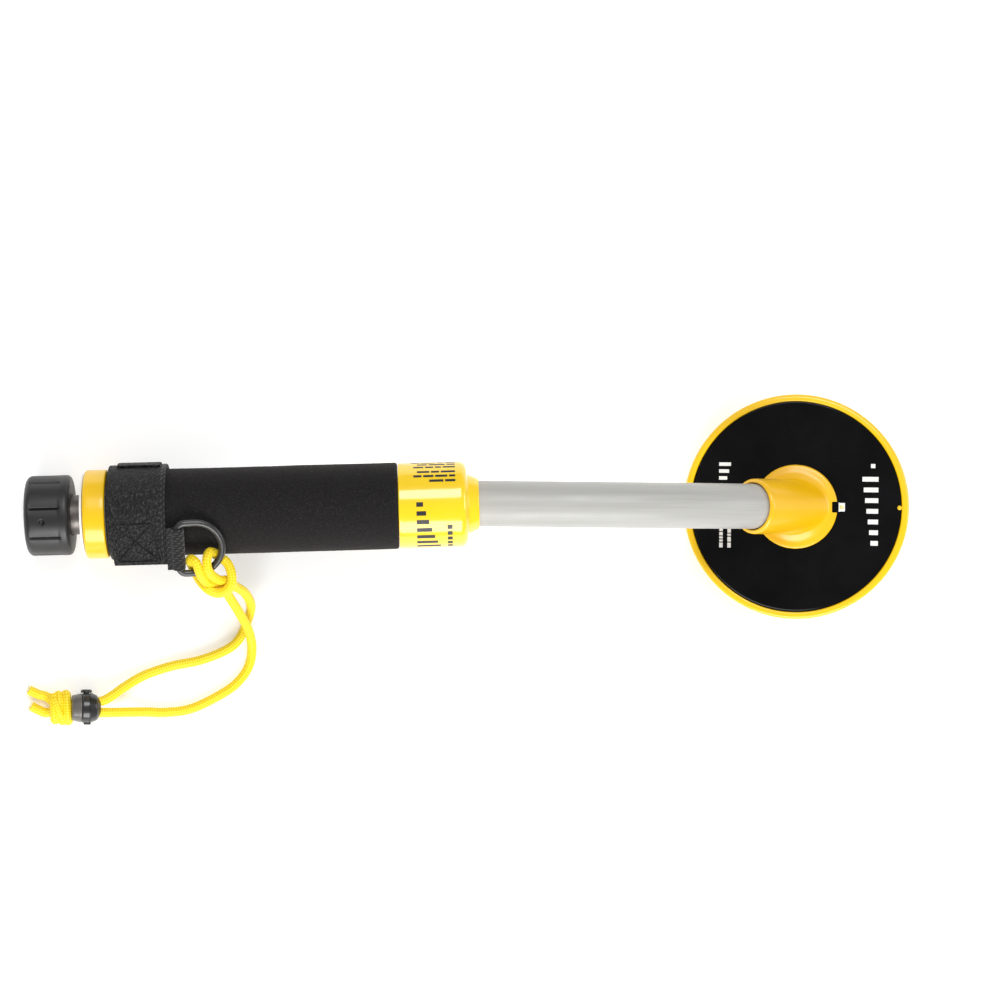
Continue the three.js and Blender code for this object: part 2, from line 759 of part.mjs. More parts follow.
function device() {
  const whole = new THREE.Group();
  whole.add(searchCoil(), shaftTube(), coilLead(), handle());
  whole.rotation.y = -restTilt();
  const box = new THREE.Box3().setFromObject(whole, true);
  const middle = box.getCenter(new THREE.Vector3());
  whole.position.set(-middle.x, -middle.y, -box.min.z);
  return whole;
}

// ---- lanyard, in the table frame: two strands from the hitch down to the table ----
const strandOne = [
  [-126.9, -38.8, 43.4], [-122.5, -41.3, 37.5], [-118.4, -43.9, 30], [-112.1, -52.8, 19.5],
  [-106.8, -61.3, 11], [-104.2, -70.2, 5], [-105.3, -79.5, 2.5], [-111, -87.7, 2.3],
  [-120, -94, 2.3], [-132.9, -100, 2.3], [-144.9, -101.7, 2.4], [-154.5, -101.4, 3.2],
  [-165.1, -101.3, 5.4], [-170.5, -101.3, 6.9], [-175.6, -101.3, 7.3],
];
const strandTwo = [
  [-122.7, -36.3, 44.6], [-119.2, -38, 39], [-115.6, -39.9, 32.5], [-109.7, -43.6, 23.5],
  [-105.7, -50.2, 13], [-106.7, -58.2, 4.6], [-110.2, -66.5, 2.5], [-116.4, -71.8, 2.3],
  [-128.4, -76.6, 2.3], [-142.2, -79.5, 2.3], [-155.1, -83.8, 2.8], [-164.5, -89.4, 4.8],
  [-170.3, -94.2, 6.6], [-175.6, -96.6, 7.3],
];
// The ring's pivot that the strands above were laid out from; a moved ring takes their upper ends with it.
const laidFrom = new THREE.Vector3(-143.5, -22.5, 49);
const tailOne = [[-201.3, -94.2, 2.4], [-205.5, -92.9, 2.3], [-209.8, -90.9, 2.3]];
const tailTwo = [[-201.3, -101.6, 2.4], [-205, -100.4, 2.3], [-208.6, -98.6, 2.3]];
const lockCentre = [-183, -99, lockDiameter / 2];
const knotCentre = [-195.6, -99, 5.1];
const knotHalf = [5.2, 8.8, 5];

// Points on the table keep their height, and the higher ones rise or sink with the ring.
function followRing(points, ring) {
  const moved = ring.clone().sub(laidFrom);
  return points.map(([x, y, z]) => {
    const share = THREE.MathUtils.clamp((z - 8) / 20, 0, 1);
    return [x + moved.x, y + moved.y, z + moved.z * share];
  });
}

function cordPiece(name, points, steps) {
  const curve = new THREE.CatmullRomCurve3(points.map((point) => new THREE.Vector3(...point)));
  return node(name, sweep(roundSection(cordDiameter / 2), curve, steps, 8), cordYellow());
}

function lanyardKnot() {
  return node('lanyard_knot', new THREE.SphereGeometry(1, 12, 8).scale(...knotHalf), cordYellow(), knotCentre);
}

// The lock's barrel lies along X; its plunger crosses it along Y and its window meets the cord slot.
const slotWidth = 2 * cordDiameter + 2 * gap;
const slotHeight = cordDiameter + 2 * gap;
const plungerLow = -3;
const plungerHigh = lockDiameter / 2 + plungerTravel;

function cordLockBody() {
  const radius = lockDiameter / 2;
  const half = lockLength / 2;
  const barrel = turnedX([
    [-half, 0], [-half, radius - 1.6], [-half + 1.6, radius], [half - 1.6, radius], [half, radius - 1.6], [half, 0],
  ], 24);
  const slot = block([-lockLength, -slotWidth / 2, -slotHeight / 2], [lockLength, slotWidth / 2, slotHeight / 2]);
  const well = new THREE.CylinderGeometry(plungerDiameter / 2 + gap, plungerDiameter / 2 + gap, 20, 16)
    .translate(0, plungerLow - plungerTravel - 0.9 + 10, 0);
  return node('cord_lock_body', cut(barrel, slot, well), blackPlastic(), lockCentre);
}

function cordLockPlunger() {
  const length = plungerHigh - plungerLow;
  const button = new THREE.CylinderGeometry(plungerDiameter / 2, plungerDiameter / 2, length, 16)
    .translate(0, plungerLow + length / 2, 0);
  const window = block(
    [-plungerDiameter, -slotWidth / 2 + plungerTravel, -slotHeight / 2 + 0.1],
    [plungerDiameter, slotWidth / 2 + plungerTravel - 1, slotHeight / 2 - 0.1],
  );
  return node('cord_lock_plunger', cut(button, window), blackPlastic(), lockCentre);
}

function cordLockSpring() {
  const washer = new THREE.CylinderGeometry(plungerDiameter / 2 - 0.2, plungerDiameter / 2 - 0.2, 0.5, 12)
    .translate(0, plungerLow - plungerTravel - 0.35, 0);
  return node('cord_lock_spring', washer, steel(), lockCentre);
}

function lanyard(ring) {
  const strands = [strandOne, strandTwo].map((points, i) =>
    cordPiece(`lanyard_strand_${i + 1}`, followRing(points, ring), 28));
  const end = new THREE.Group();
  end.add(cordLockBody(), cordLockPlunger(), cordLockSpring(), lanyardKnot());
  end.add(cordPiece('lanyard_tail_1', tailOne, 2), cordPiece('lanyard_tail_2', tailTwo, 2));
  end.position.set(ring.x - laidFrom.x, ring.y - laidFrom.y, 0);
  const group = new THREE.Group();
  group.add(...strands, end);
  return group;
}

const detector = new THREE.Group();
const body = device();
body.updateMatrixWorld(true);
const ringPivot = body.getObjectByName('d_ring').getWorldPosition(new THREE.Vector3());
detector.add(body, lanyard(ringPivot));
export default detector;
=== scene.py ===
"""Looks for a hand-held underwater metal detector: search coil, bent shaft, foam grip,
twist-knob battery cap, wrist strap and cord lanyard.

Shapes are drawn in millimetres in the frame of the assembly they belong to (COIL, ELBOW, DEVICE,
HANDLE, WEBBING or RING), and their meshes are stored in metres."""
import json
import math
import random

import bmesh
import bpy
from mathutils import Matrix, Vector, noise


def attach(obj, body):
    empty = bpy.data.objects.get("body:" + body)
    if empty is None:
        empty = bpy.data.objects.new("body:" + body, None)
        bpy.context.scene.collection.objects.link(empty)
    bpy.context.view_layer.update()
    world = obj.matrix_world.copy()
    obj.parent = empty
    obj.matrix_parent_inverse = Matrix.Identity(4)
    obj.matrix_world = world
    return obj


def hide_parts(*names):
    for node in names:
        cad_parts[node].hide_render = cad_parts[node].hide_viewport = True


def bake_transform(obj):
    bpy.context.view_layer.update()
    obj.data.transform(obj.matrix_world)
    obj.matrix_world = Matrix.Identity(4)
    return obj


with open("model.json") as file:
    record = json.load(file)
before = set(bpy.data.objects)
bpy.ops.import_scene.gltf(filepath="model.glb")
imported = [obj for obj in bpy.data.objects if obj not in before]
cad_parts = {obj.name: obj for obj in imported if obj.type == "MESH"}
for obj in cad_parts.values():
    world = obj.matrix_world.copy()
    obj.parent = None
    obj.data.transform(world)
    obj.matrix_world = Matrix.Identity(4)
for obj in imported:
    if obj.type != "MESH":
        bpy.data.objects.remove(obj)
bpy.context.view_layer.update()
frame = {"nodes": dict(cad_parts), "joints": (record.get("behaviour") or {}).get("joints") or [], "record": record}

MM = 0.001
random.seed(7)

# ---------------------------------------------------------------- the frames of the assemblies
JOINTS = {joint["name"]: joint for joint in frame["joints"]}
MOUNT = frame["record"]["mounts"][0]

ELBOW_DROP = math.radians(40)
AXIS_HEIGHT = 45
BEND_RADIUS = 110
FLANGE_PLANE = 15.5
FLAP_ANGLE = math.radians(20)
RING_DROOP = math.radians(6)

along = Vector(JOINTS["knob_turn"]["axis"]).normalized()
rest_tilt = math.atan2(along.z, along.x)
handle_yaw = math.asin(along.y)
underside = -Vector(MOUNT["axis"])
coil_tilt = math.atan2(-underside.x, underside.z)


def placed(point, *turns):
    matrix = Matrix.Translation(Vector(point))
    for angle, axis in turns:
        matrix = matrix @ Matrix.Rotation(angle, 4, axis)
    return matrix


def shifted(matrix, x=0, y=0, z=0):
    return matrix @ Matrix.Translation((x * MM, y * MM, z * MM))


def span(node, matrix):
    """The node's lowest and highest corners in a local frame, in millimetres."""
    back = matrix.inverted()
    points = [back @ vertex.co for vertex in frame["nodes"][node].data.vertices]
    low = Vector([min(p[i] for p in points) for i in range(3)]) / MM
    high = Vector([max(p[i] for p in points) for i in range(3)]) / MM
    return low, high


# COIL: z = 0 on the underside. ELBOW: z along the socket. DEVICE: x along the straight shaft.
# HANDLE: x = 0 at the coupling's front end and falls towards the knob. RING: x out from its bar.
COIL = placed(MOUNT["pos_m"], (-coil_tilt, "Y"))
HANDLE = placed(JOINTS["knob_turn"]["pos_m"], (-rest_tilt, "Y"), (handle_yaw, "Z"))
HANDLE = shifted(HANDLE, x=span("front_coupling", HANDLE)[1].x)
WEBBING = placed(JOINTS["d_ring_swing"]["pos_m"], (-rest_tilt, "Y"), (handle_yaw, "Z"),
                 (FLAP_ANGLE, "X"))
RING = WEBBING @ Matrix.Rotation(RING_DROOP, 4, "Y")
DEVICE = placed(shifted(COIL, z=FLANGE_PLANE).translation, (-rest_tilt, "Y"))
DEVICE = shifted(DEVICE, z=AXIS_HEIGHT)
elbow_lean = math.pi / 2 - ELBOW_DROP - (coil_tilt - rest_tilt)
ELBOW = shifted(COIL, z=FLANGE_PLANE) @ Matrix.Rotation(-elbow_lean, 4, "Y")

# ---------------------------------------------------------------- camera, light and floor
CAMERA_FOV = 2 * math.atan(500 / 2852)
CAMERA_PITCH = math.radians(1.5)
CAMERA_ROLL = math.radians(0.6)
CAMERA_SPOT = (-0.1807, 0.00176, 1.3445)
WORLD_LIGHT = 0.42
# Each lamp: name, place, target, width in metres, power in watts.
LAMPS = [
    ("front", (-0.1, -1.03, 0.62), (-0.03, -0.02, 0.02), 1.0, 15),
    ("back", (-0.1, 0.60, 1.07), (-0.03, 0.0, 0.03), 0.7, 8),
    ("end", (1.0, 0.15, 0.55), (0.1, 0.0, 0.03), 0.6, 3),
]
FLOOR_SIDE = 16
FLOOR_DROP = 0.2


def studio():
    camera = added("camera", bpy.data.cameras.new("camera"))
    bpy.context.scene.camera = camera
    camera.data.sensor_fit = "AUTO"
    camera.data.angle = CAMERA_FOV
    camera.data.clip_end = 20
    spot = DEVICE @ Vector(CAMERA_SPOT)
    camera.matrix_world = placed(spot, (-rest_tilt, "Y"), (-CAMERA_PITCH, "Y"), (CAMERA_ROLL, "Z"))

    world = bpy.data.worlds.new("studio")
    bpy.context.scene.world = world
    world.use_nodes = True
    sky = world.node_tree.nodes["Background"]
    sky.inputs["Color"].default_value = (1, 1, 1, 1)
    sky.inputs["Strength"].default_value = WORLD_LIGHT

    for values in LAMPS:
        lamp(*values)

    bpy.context.scene.view_settings.view_transform = "Standard"
    bpy.context.scene.view_settings.look = "None"
    ground = floor_sheet("floor", FLOOR_SIDE)
    ground.location.z = -FLOOR_DROP * MM
    ground.data.materials.append(floor_paint())


def lamp(name, place, target, size, power):
    light = bpy.data.lights.new(name, "AREA")
    light.shape = "RECTANGLE"
    light.size = size
    light.size_y = size * 0.7
    light.energy = power
    obj = added(name, light)
    obj.location = place
    obj.rotation_euler = (Vector(target) - Vector(place)).to_track_quat("-Z", "Y").to_euler()


def floor_sheet(name, side):
    mesh = bpy.data.meshes.new(name)
    half = side / 2
    corners = [(-half, -half, 0), (half, -half, 0), (half, half, 0), (-half, half, 0)]
    mesh.from_pydata(corners, [], [(0, 1, 2, 3)])
    return added(name, mesh)


# ---------------------------------------------------------------- materials
CORD_RADIUS = 2.2
BRAID_STRANDS = 5
BRAID_LAY = 2.7


class Paint:
    """A principled material with short calls for the nodes that give it its detail."""

    def __init__(self, name, **values):
        self.material = bpy.data.materials.new(name)
        self.material.use_nodes = True
        self.tree = self.material.node_tree
        self.shader = self.tree.nodes["Principled BSDF"]
        self.space = self.tree.nodes.new("ShaderNodeTexCoord")
        for key, value in values.items():
            socket = self.shader.inputs[key.replace("_", " ")]
            socket.default_value = (*value, 1) if isinstance(value, tuple) else value

    def node(self, kind, **values):
        made = self.tree.nodes.new("ShaderNode" + kind)
        for key, value in values.items():
            if hasattr(made, key):
                setattr(made, key, value)
            else:
                made.inputs[key.replace("_", " ")].default_value = value
        return made

    def link(self, source, target):
        self.tree.links.new(source, target)

    def coords(self, scale=(1, 1, 1), uv=False):
        """Object coordinates (metres), or the UV map (millimetres), times a scale."""
        mapping = self.node("Mapping")
        mapping.inputs["Scale"].default_value = scale
        self.link(self.space.outputs["UV" if uv else "Object"], mapping.inputs["Vector"])
        return mapping.outputs["Vector"]

    def grain(self, scale, detail=3, roughness=0.6, stretch=(1, 1, 1), uv=False):
        made = self.node("TexNoise", Scale=scale, Detail=detail, Roughness=roughness)
        self.link(self.coords(stretch, uv), made.inputs["Vector"])
        return made.outputs["Fac"]

    def ramp(self, value, stops):
        made = self.node("ValToRGB")
        ramp = made.color_ramp
        while len(ramp.elements) < len(stops):
            ramp.elements.new(0.5)
        for element, (place, color) in zip(ramp.elements, stops):
            element.position = place
            element.color = (*color, 1)
        self.link(value, made.inputs["Fac"])
        return made.outputs["Color"]

    def range(self, value, low, high, start=0.0, end=1.0):
        made = self.node("MapRange")
        limits = {"From Min": start, "From Max": end, "To Min": low, "To Max": high}
        for key, number in limits.items():
            made.inputs[key].default_value = number
        self.link(value, made.inputs["Value"])
        return made.outputs["Result"]

    def math(self, operation, a, b=None):
        made = self.node("Math", operation=operation)
        for i, value in enumerate((a, b)):
            if isinstance(value, (int, float)):
                made.inputs[i].default_value = value
            elif value is not None:
                self.link(value, made.inputs[i])
        return made.outputs["Value"]

    def color(self, value, stops):
        self.link(self.ramp(value, stops), self.shader.inputs["Base Color"])

    def rough(self, value, low, high, start=0.3, end=0.7):
        self.link(self.range(value, low, high, start, end), self.shader.inputs["Roughness"])

    def bump(self, height, distance, strength=1.0):
        made = self.node("Bump", Strength=strength, Distance=distance)
        self.link(height, made.inputs["Height"])
        before = self.shader.inputs["Normal"].links
        if before:
            self.link(before[0].from_socket, made.inputs["Normal"])
        self.link(made.outputs["Normal"], self.shader.inputs["Normal"])


def floor_paint():
    paint = Paint("floor_paint", Roughness=0.9)
    paint.color(paint.grain(3), [(0.3, (0.90, 0.90, 0.90)), (0.7, (0.92, 0.92, 0.92))])
    paint.shader.inputs["Emission Color"].default_value = (1, 1, 1, 1)
    paint.shader.inputs["Emission Strength"].default_value = 0.22
    return paint.material


def moulded(name, color, rough, coat=0.0, grain=0.00002, wear=0.06, scale=900):
    """Moulded plastic: slightly uneven colour and gloss, with a fine texture."""
    paint = Paint(name, Coat_Weight=coat, Coat_Roughness=0.08, Specular_IOR_Level=0.5)
    dark = tuple(c * (1 - wear) for c in color)
    light = tuple(min(1.0, c * (1 + wear * 0.6)) for c in color)
    paint.color(paint.grain(28, 4), [(0.3, dark), (0.5, color), (0.72, light)])
    paint.rough(paint.grain(70, 4), rough * 0.86, rough * 1.16)
    paint.bump(paint.grain(scale, 2), grain, 0.5)
    return paint.material


def pipe_grey():
    """Extruded pipe: faint lines along its length and a mottled satin surface."""
    paint = Paint("pipe_grey", Specular_IOR_Level=0.45)
    tone = paint.grain(0.5, 4, stretch=(1, 0.03, 1), uv=True)
    paint.color(tone, [(0.3, (0.375, 0.372, 0.350)), (0.7, (0.430, 0.427, 0.405))])
    paint.rough(paint.grain(60, 4), 0.34, 0.48)
    paint.bump(paint.grain(0.9, 3, stretch=(1, 0.02, 1), uv=True), 0.00004, 0.5)
    paint.bump(paint.grain(700, 2), 0.00002, 0.4)
    return paint.material


def epoxy_black():
    """Clear resin over a black board: deep, glossy, with a hint of dust and brush marks."""
    paint = Paint("epoxy_black", Specular_IOR_Level=0.13)
    paint.color(paint.grain(40, 5), [(0.35, (0.0016, 0.0016, 0.0018)), (0.7, (0.0042, 0.0042, 0.0048))])
    paint.rough(paint.grain(30, 5), 0.07, 0.13)
    paint.bump(paint.grain(35, 2), 0.00008, 0.2)
    return paint.material


def foam_black():
    """Closed-cell foam: matt, with open skin cells of about 0.3 mm and larger soft dents."""
    paint = Paint("foam_black", Specular_IOR_Level=0.12, Sheen_Weight=0.06, Sheen_Roughness=0.6)
    paint.shader.inputs["Sheen Tint"].default_value = (0.8, 0.76, 0.74, 1)
    cells = paint.node("TexVoronoi", Scale=2600.0)
    paint.link(paint.coords(), cells.inputs["Vector"])
    speckle = paint.grain(1500, 4, 0.75)
    paint.color(speckle, [
        (0.36, (0.0060, 0.0055, 0.0055)), (0.58, (0.0135, 0.0125, 0.0125)), (0.75, (0.050, 0.048, 0.048)),
    ])
    paint.rough(speckle, 0.82, 0.98)
    paint.bump(cells.outputs["Distance"], 0.00010, 0.7)
    paint.bump(paint.grain(420, 4, 0.7), 0.00022, 0.6)
    paint.bump(paint.grain(55, 3), 0.0005, 0.35)
    return paint.material


def strap_fabric():
    """Loop-faced strap: a matted, pebbled face of short fibres with small bright flecks."""
    paint = Paint("strap_fabric", Specular_IOR_Level=0.26)
    pebbles = paint.node("TexVoronoi", Scale=1050.0, Randomness=1.0)
    paint.link(paint.coords((1, 0.7, 1)), pebbles.inputs["Vector"])
    fibres = paint.grain(1250, 3, 0.7, stretch=(0.8, 0.5, 1))
    paint.color(fibres, [
        (0.40, (0.0030, 0.0030, 0.0030)), (0.54, (0.0085, 0.0082, 0.0080)), (0.68, (0.062, 0.060, 0.058)),
    ])
    paint.rough(fibres, 0.34, 0.7)
    paint.bump(pebbles.outputs["Distance"], 0.0006, 0.9)
    paint.bump(fibres, 0.0004, 0.9)
    return paint.material


def webbing(name, tone):
    """Flat woven webbing: ribs across and along, from the UV map in millimetres."""
    paint = Paint(name, Specular_IOR_Level=0.3, Sheen_Weight=0.2)
    wave_a = paint.node("TexWave", Scale=0.26, Distortion=1.2, bands_direction="X")
    wave_b = paint.node("TexWave", Scale=0.22, Distortion=1.2, bands_direction="DIAGONAL")
    for wave in (wave_a, wave_b):
        paint.link(paint.coords((1, 1, 1), uv=True), wave.inputs["Vector"])
    weave = paint.math("MULTIPLY", wave_a.outputs["Fac"], wave_b.outputs["Fac"])
    dark = tuple(c * 0.3 for c in tone)
    light = tuple(c * 3.2 for c in tone)
    paint.color(weave, [(0.1, dark), (0.45, tone), (0.9, light)])
    paint.shader.inputs["Roughness"].default_value = 0.75
    paint.bump(weave, 0.0004, 0.9)
    return paint.material


def cord_yellow():
    """Braided polyester: deep gold painted shade in the pockets of the braid and a pale yellow painted highlight
    on its crowns, over a thread tone that varies at random.
    """
    paint = Paint("cord_yellow", Specular_IOR_Level=0.35, Sheen_Weight=0.15, Sheen_Roughness=0.4)
    paint.shader.inputs["Sheen Tint"].default_value = (1, 0.95, 0.6, 1)
    split = paint.node("SeparateXYZ")
    paint.link(paint.coords(uv=True), split.inputs["Vector"])
    round_angle = paint.math("MULTIPLY", split.outputs["X"], 2 * BRAID_STRANDS / CORD_RADIUS)
    lay_angle = paint.math("MULTIPLY", split.outputs["Y"], 2 * BRAID_LAY)
    around = paint.math("COSINE", round_angle)
    lengthwise = paint.math("COSINE", lay_angle)
    # crowns follows the braid, high on its crowns and low in its pockets; it drives the relief and also the
    # painted shade and highlight in the colour.
    crowns = paint.range(paint.math("SUBTRACT", lengthwise, around), 0, 1, -2, 2)
    threads = paint.grain(3.4, 3, uv=True)
    braid_shade_and_thread_tone = paint.math("ADD", paint.math("MULTIPLY", crowns, 0.75), paint.math("MULTIPLY", threads, 0.3))
    # Colour: painted shade in the braid's pockets and painted highlight on its crowns, mixed with a smaller share
    # of random thread tone.
    paint.color(braid_shade_and_thread_tone, [
        (0.16, (0.76, 0.50, 0.0)), (0.34, (0.88, 0.61, 0.0)), (0.62, (0.95, 0.70, 0.004)),
        (0.85, (1.0, 0.84, 0.10)),
    ])
    paint.rough(threads, 0.42, 0.62)
    paint.bump(crowns, 0.00012, 0.6)
    paint.bump(paint.grain(9.0, 2, stretch=(1, 0.4, 1), uv=True), 0.00006, 0.7)
    return paint.material


def metal(name, color, rough, stretch, scale=260, spread=0.25, bump=0.00003):
    """Turned or drawn metal with fine marks that follow how it was made."""
    paint = Paint(name, Metallic=1.0)
    marks = paint.grain(scale, 4, 0.7, stretch=stretch)
    dark = tuple(c * (1 - spread) for c in color)
    light = tuple(min(1, c * (1 + spread)) for c in color)
    paint.color(marks, [(0.3, dark), (0.7, light)])
    paint.rough(marks, rough * 0.7, rough * 1.35)
    paint.bump(marks, bump, 0.6)
    return paint.material


def coated_wire():
    """Black-coated wire, a little rubbed: dark with a soft metallic edge sheen."""
    paint = Paint("coated_wire", Specular_IOR_Level=0.6, Coat_Weight=0.3, Coat_Roughness=0.25)
    rubbed = paint.grain(240, 5, 0.7)
    paint.color(rubbed, [
        (0.4, (0.012, 0.012, 0.0125)), (0.62, (0.022, 0.021, 0.022)), (0.8, (0.07, 0.067, 0.064)),
    ])
    paint.rough(rubbed, 0.28, 0.5)
    paint.bump(paint.grain(900, 3), 0.00003, 0.5)
    return paint.material


def board(name):
    """Solder mask over copper tracks, with a fine track pattern."""
    paint = Paint(name, Coat_Weight=0.4, Coat_Roughness=0.2)
    tracks = paint.node("TexBrick", Scale=260.0, Mortar_Size=0.03)
    paint.link(paint.coords(), tracks.inputs["Vector"])
    tracks.inputs["Color1"].default_value = (0.012, 0.075, 0.03, 1)
    tracks.inputs["Color2"].default_value = (0.015, 0.09, 0.035, 1)
    tracks.inputs["Mortar"].default_value = (0.03, 0.16, 0.06, 1)
    paint.link(tracks.outputs["Color"], paint.shader.inputs["Base Color"])
    paint.rough(paint.grain(200, 3), 0.35, 0.5)
    paint.bump(tracks.outputs["Fac"], 0.00004, 0.5)
    return paint.material


def copper_wire():
    """Enamelled windings: fine parallel turns round the coil's axis."""
    paint = Paint("copper_wire", Metallic=1.0, Coat_Weight=0.6, Coat_Roughness=0.15)
    turns = paint.node("TexWave", Scale=900.0, Distortion=0.4, wave_type="RINGS", rings_direction="Z")
    paint.link(paint.coords(), turns.inputs["Vector"])
    paint.color(turns.outputs["Fac"], [(0.1, (0.22, 0.07, 0.025)), (0.8, (0.72, 0.32, 0.14))])
    paint.shader.inputs["Roughness"].default_value = 0.3
    paint.bump(turns.outputs["Fac"], 0.0002, 0.8)
    return paint.material


def ink(name, color):
    """Screen-printed ink with slightly uneven cover."""
    paint = Paint(name)
    paint.color(paint.grain(900, 3), [(0.3, tuple(c * 0.85 for c in color)), (0.7, color)])
    paint.rough(paint.grain(300, 3), 0.35, 0.55)
    paint.bump(paint.grain(1200, 2), 0.00001, 0.3)
    return paint.material


def lens():
    """The LED's cream phosphor under a clear face."""
    paint = Paint("lens", Coat_Weight=1.0, Coat_Roughness=0.05, Subsurface_Weight=0.2)
    paint.color(paint.grain(600, 3), [(0.3, (0.78, 0.68, 0.22)), (0.7, (0.86, 0.78, 0.36))])
    paint.shader.inputs["Roughness"].default_value = 0.35
    paint.bump(paint.grain(1500, 2), 0.00002, 0.4)
    return paint.material


# ---------------------------------------------------------------- shapes
LEAN_FADE = 0.85


def added(name, data):
    obj = bpy.data.objects.new(name, data)
    bpy.context.scene.collection.objects.link(obj)
    return obj


def make(name, matrix, points, faces, paint, uvs=None, sharp=40):
    """A mesh of points in millimetres in the matrix's frame, with its normals outwards."""
    mesh = bpy.data.meshes.new(name)
    mesh.from_pydata([(x * MM, y * MM, z * MM) for x, y, z in points], [], faces)
    if uvs:
        layer = mesh.uv_layers.new(name="UVMap")
        for loop in mesh.loops:
            layer.data[loop.index].uv = uvs[loop.vertex_index]
    obj = added(name, mesh)
    obj.matrix_world = matrix
    mesh.materials.append(paint)
    tidied(mesh, sharp)
    return obj


def tidied(mesh, sharp=40):
    work = bmesh.new()
    work.from_mesh(mesh)
    bmesh.ops.remove_doubles(work, verts=work.verts, dist=0.000001)
    bmesh.ops.recalc_face_normals(work, faces=work.faces)
    work.to_mesh(mesh)
    work.free()
    mesh.shade_smooth()
    mesh.set_sharp_from_angle(angle=math.radians(sharp))


def filleted(corners, steps=6):
    """Turns corners (a, b, radius) into a line of points whose corners are arcs."""
    line = []
    for i, (a, b, radius) in enumerate(corners):
        here = Vector((a, b))
        if not radius or i in (0, len(corners) - 1):
            line.append((a, b))
            continue
        before = (Vector(corners[i - 1][:2]) - here).normalized()
        after = (Vector(corners[i + 1][:2]) - here).normalized()
        half = before.angle(after) / 2
        reach = radius / math.tan(half)
        centre = here + (before + after).normalized() * (radius / math.sin(half))
        start = here + before * reach - centre
        end = here + after * reach - centre
        for k in range(steps + 1):
            line.append(tuple(centre + start.slerp(end, k / steps).normalized() * radius))
    return line


def denser(line, step):
    """Adds points along a line so that no gap is longer than step."""
    full = [line[0]]
    for a, b in zip(line, line[1:]):
        count = max(1, math.ceil(math.dist(a, b) / step))
        full += [tuple(Vector(a).lerp(Vector(b), k / count)) for k in range(1, count + 1)]
    return full


def ring_faces(rows, sides, closed=False):
    """Faces between rows of points that each go once round."""
    faces = []
    for i in range(rows if closed else rows - 1):
        j = (i + 1) % rows
        for k in range(sides):
            nxt = (k + 1) % sides
            faces.append((i * sides + k, i * sides + nxt, j * sides + nxt, j * sides + k))
    return faces


def lathe(name, matrix, profile, sides, paint, axis="X", shape=None, sharp=40):
    """Turns a profile of (along, radius) about X or Z; shape(along, angle, radius) gives the radius."""
    points = []
    for along, radius in profile:
        for k in range(sides):
            angle = 2 * math.pi * k / sides
            r = shape(along, angle, radius) if shape else radius
            y, z = r * math.cos(angle), r * math.sin(angle)
            points.append((along, y, z) if axis == "X" else (y, z, along))
    faces = ring_faces(len(profile), sides, closed=profile[0][1] > 0)
    return make(name, matrix, points, faces, paint, sharp=sharp)


def smooth_line(points, step):
    """A Catmull-Rom curve through the points, sampled at even steps."""
    raw = []
    ends = [2 * Vector(points[0]) - Vector(points[1])]
    line = ends + [Vector(p) for p in points] + [2 * Vector(points[-1]) - Vector(points[-2])]
    for p0, p1, p2, p3 in zip(line, line[1:], line[2:], line[3:]):
        for k in range(16):
            t = k / 16
            raw.append(0.5 * (2 * p1 + (p2 - p0) * t + (2 * p0 - 5 * p1 + 4 * p2 - p3) * t * t
                              + (3 * p1 - p0 - 3 * p2 + p3) * t ** 3))
    raw.append(line[-2])
    return even_line(raw, step)


def even_line(raw, step):
    total = sum((b - a).length for a, b in zip(raw, raw[1:]))
    count = max(2, round(total / step))
    result = [raw[0]]
    walked = 0.0
    for a, b in zip(raw, raw[1:]):
        length = (b - a).length
        while length > 0 and len(result) < count and walked + length >= total * len(result) / count:
            result.append(a.lerp(b, (total * len(result) / count - walked) / length))
        walked += length
    result.append(raw[-1])
    return result


def tube(name, matrix, line, radius, sides, paint, relief=None, sharp=60):
    """A round tube along a line of points; relief(angle, distance) is added to its radius."""
    tangents = [(b - a).normalized() for a, b in zip(line, line[1:])]
    tangents.append(tangents[-1])
    side = tangents[0].orthogonal().normalized()
    points, uvs = [], []
    walked = 0.0
    for i, centre in enumerate(line):
        if i:
            walked += (centre - line[i - 1]).length
            side = (side - tangents[i] * side.dot(tangents[i])).normalized()
        other = tangents[i].cross(side)
        for k in range(sides):
            angle = 2 * math.pi * k / sides
            r = radius + (relief(angle, walked) if relief else 0)
            points.append(tuple(centre + (side * math.cos(angle) + other * math.sin(angle)) * r))
            uvs.append((min(angle, 2 * math.pi - angle) * radius, walked))
    faces = ring_faces(len(line), sides)
    faces.append(tuple(range(sides)))
    faces.append(tuple(range((len(line) - 1) * sides, len(line) * sides)))
    return make(name, matrix, points, faces, paint, uvs, sharp)


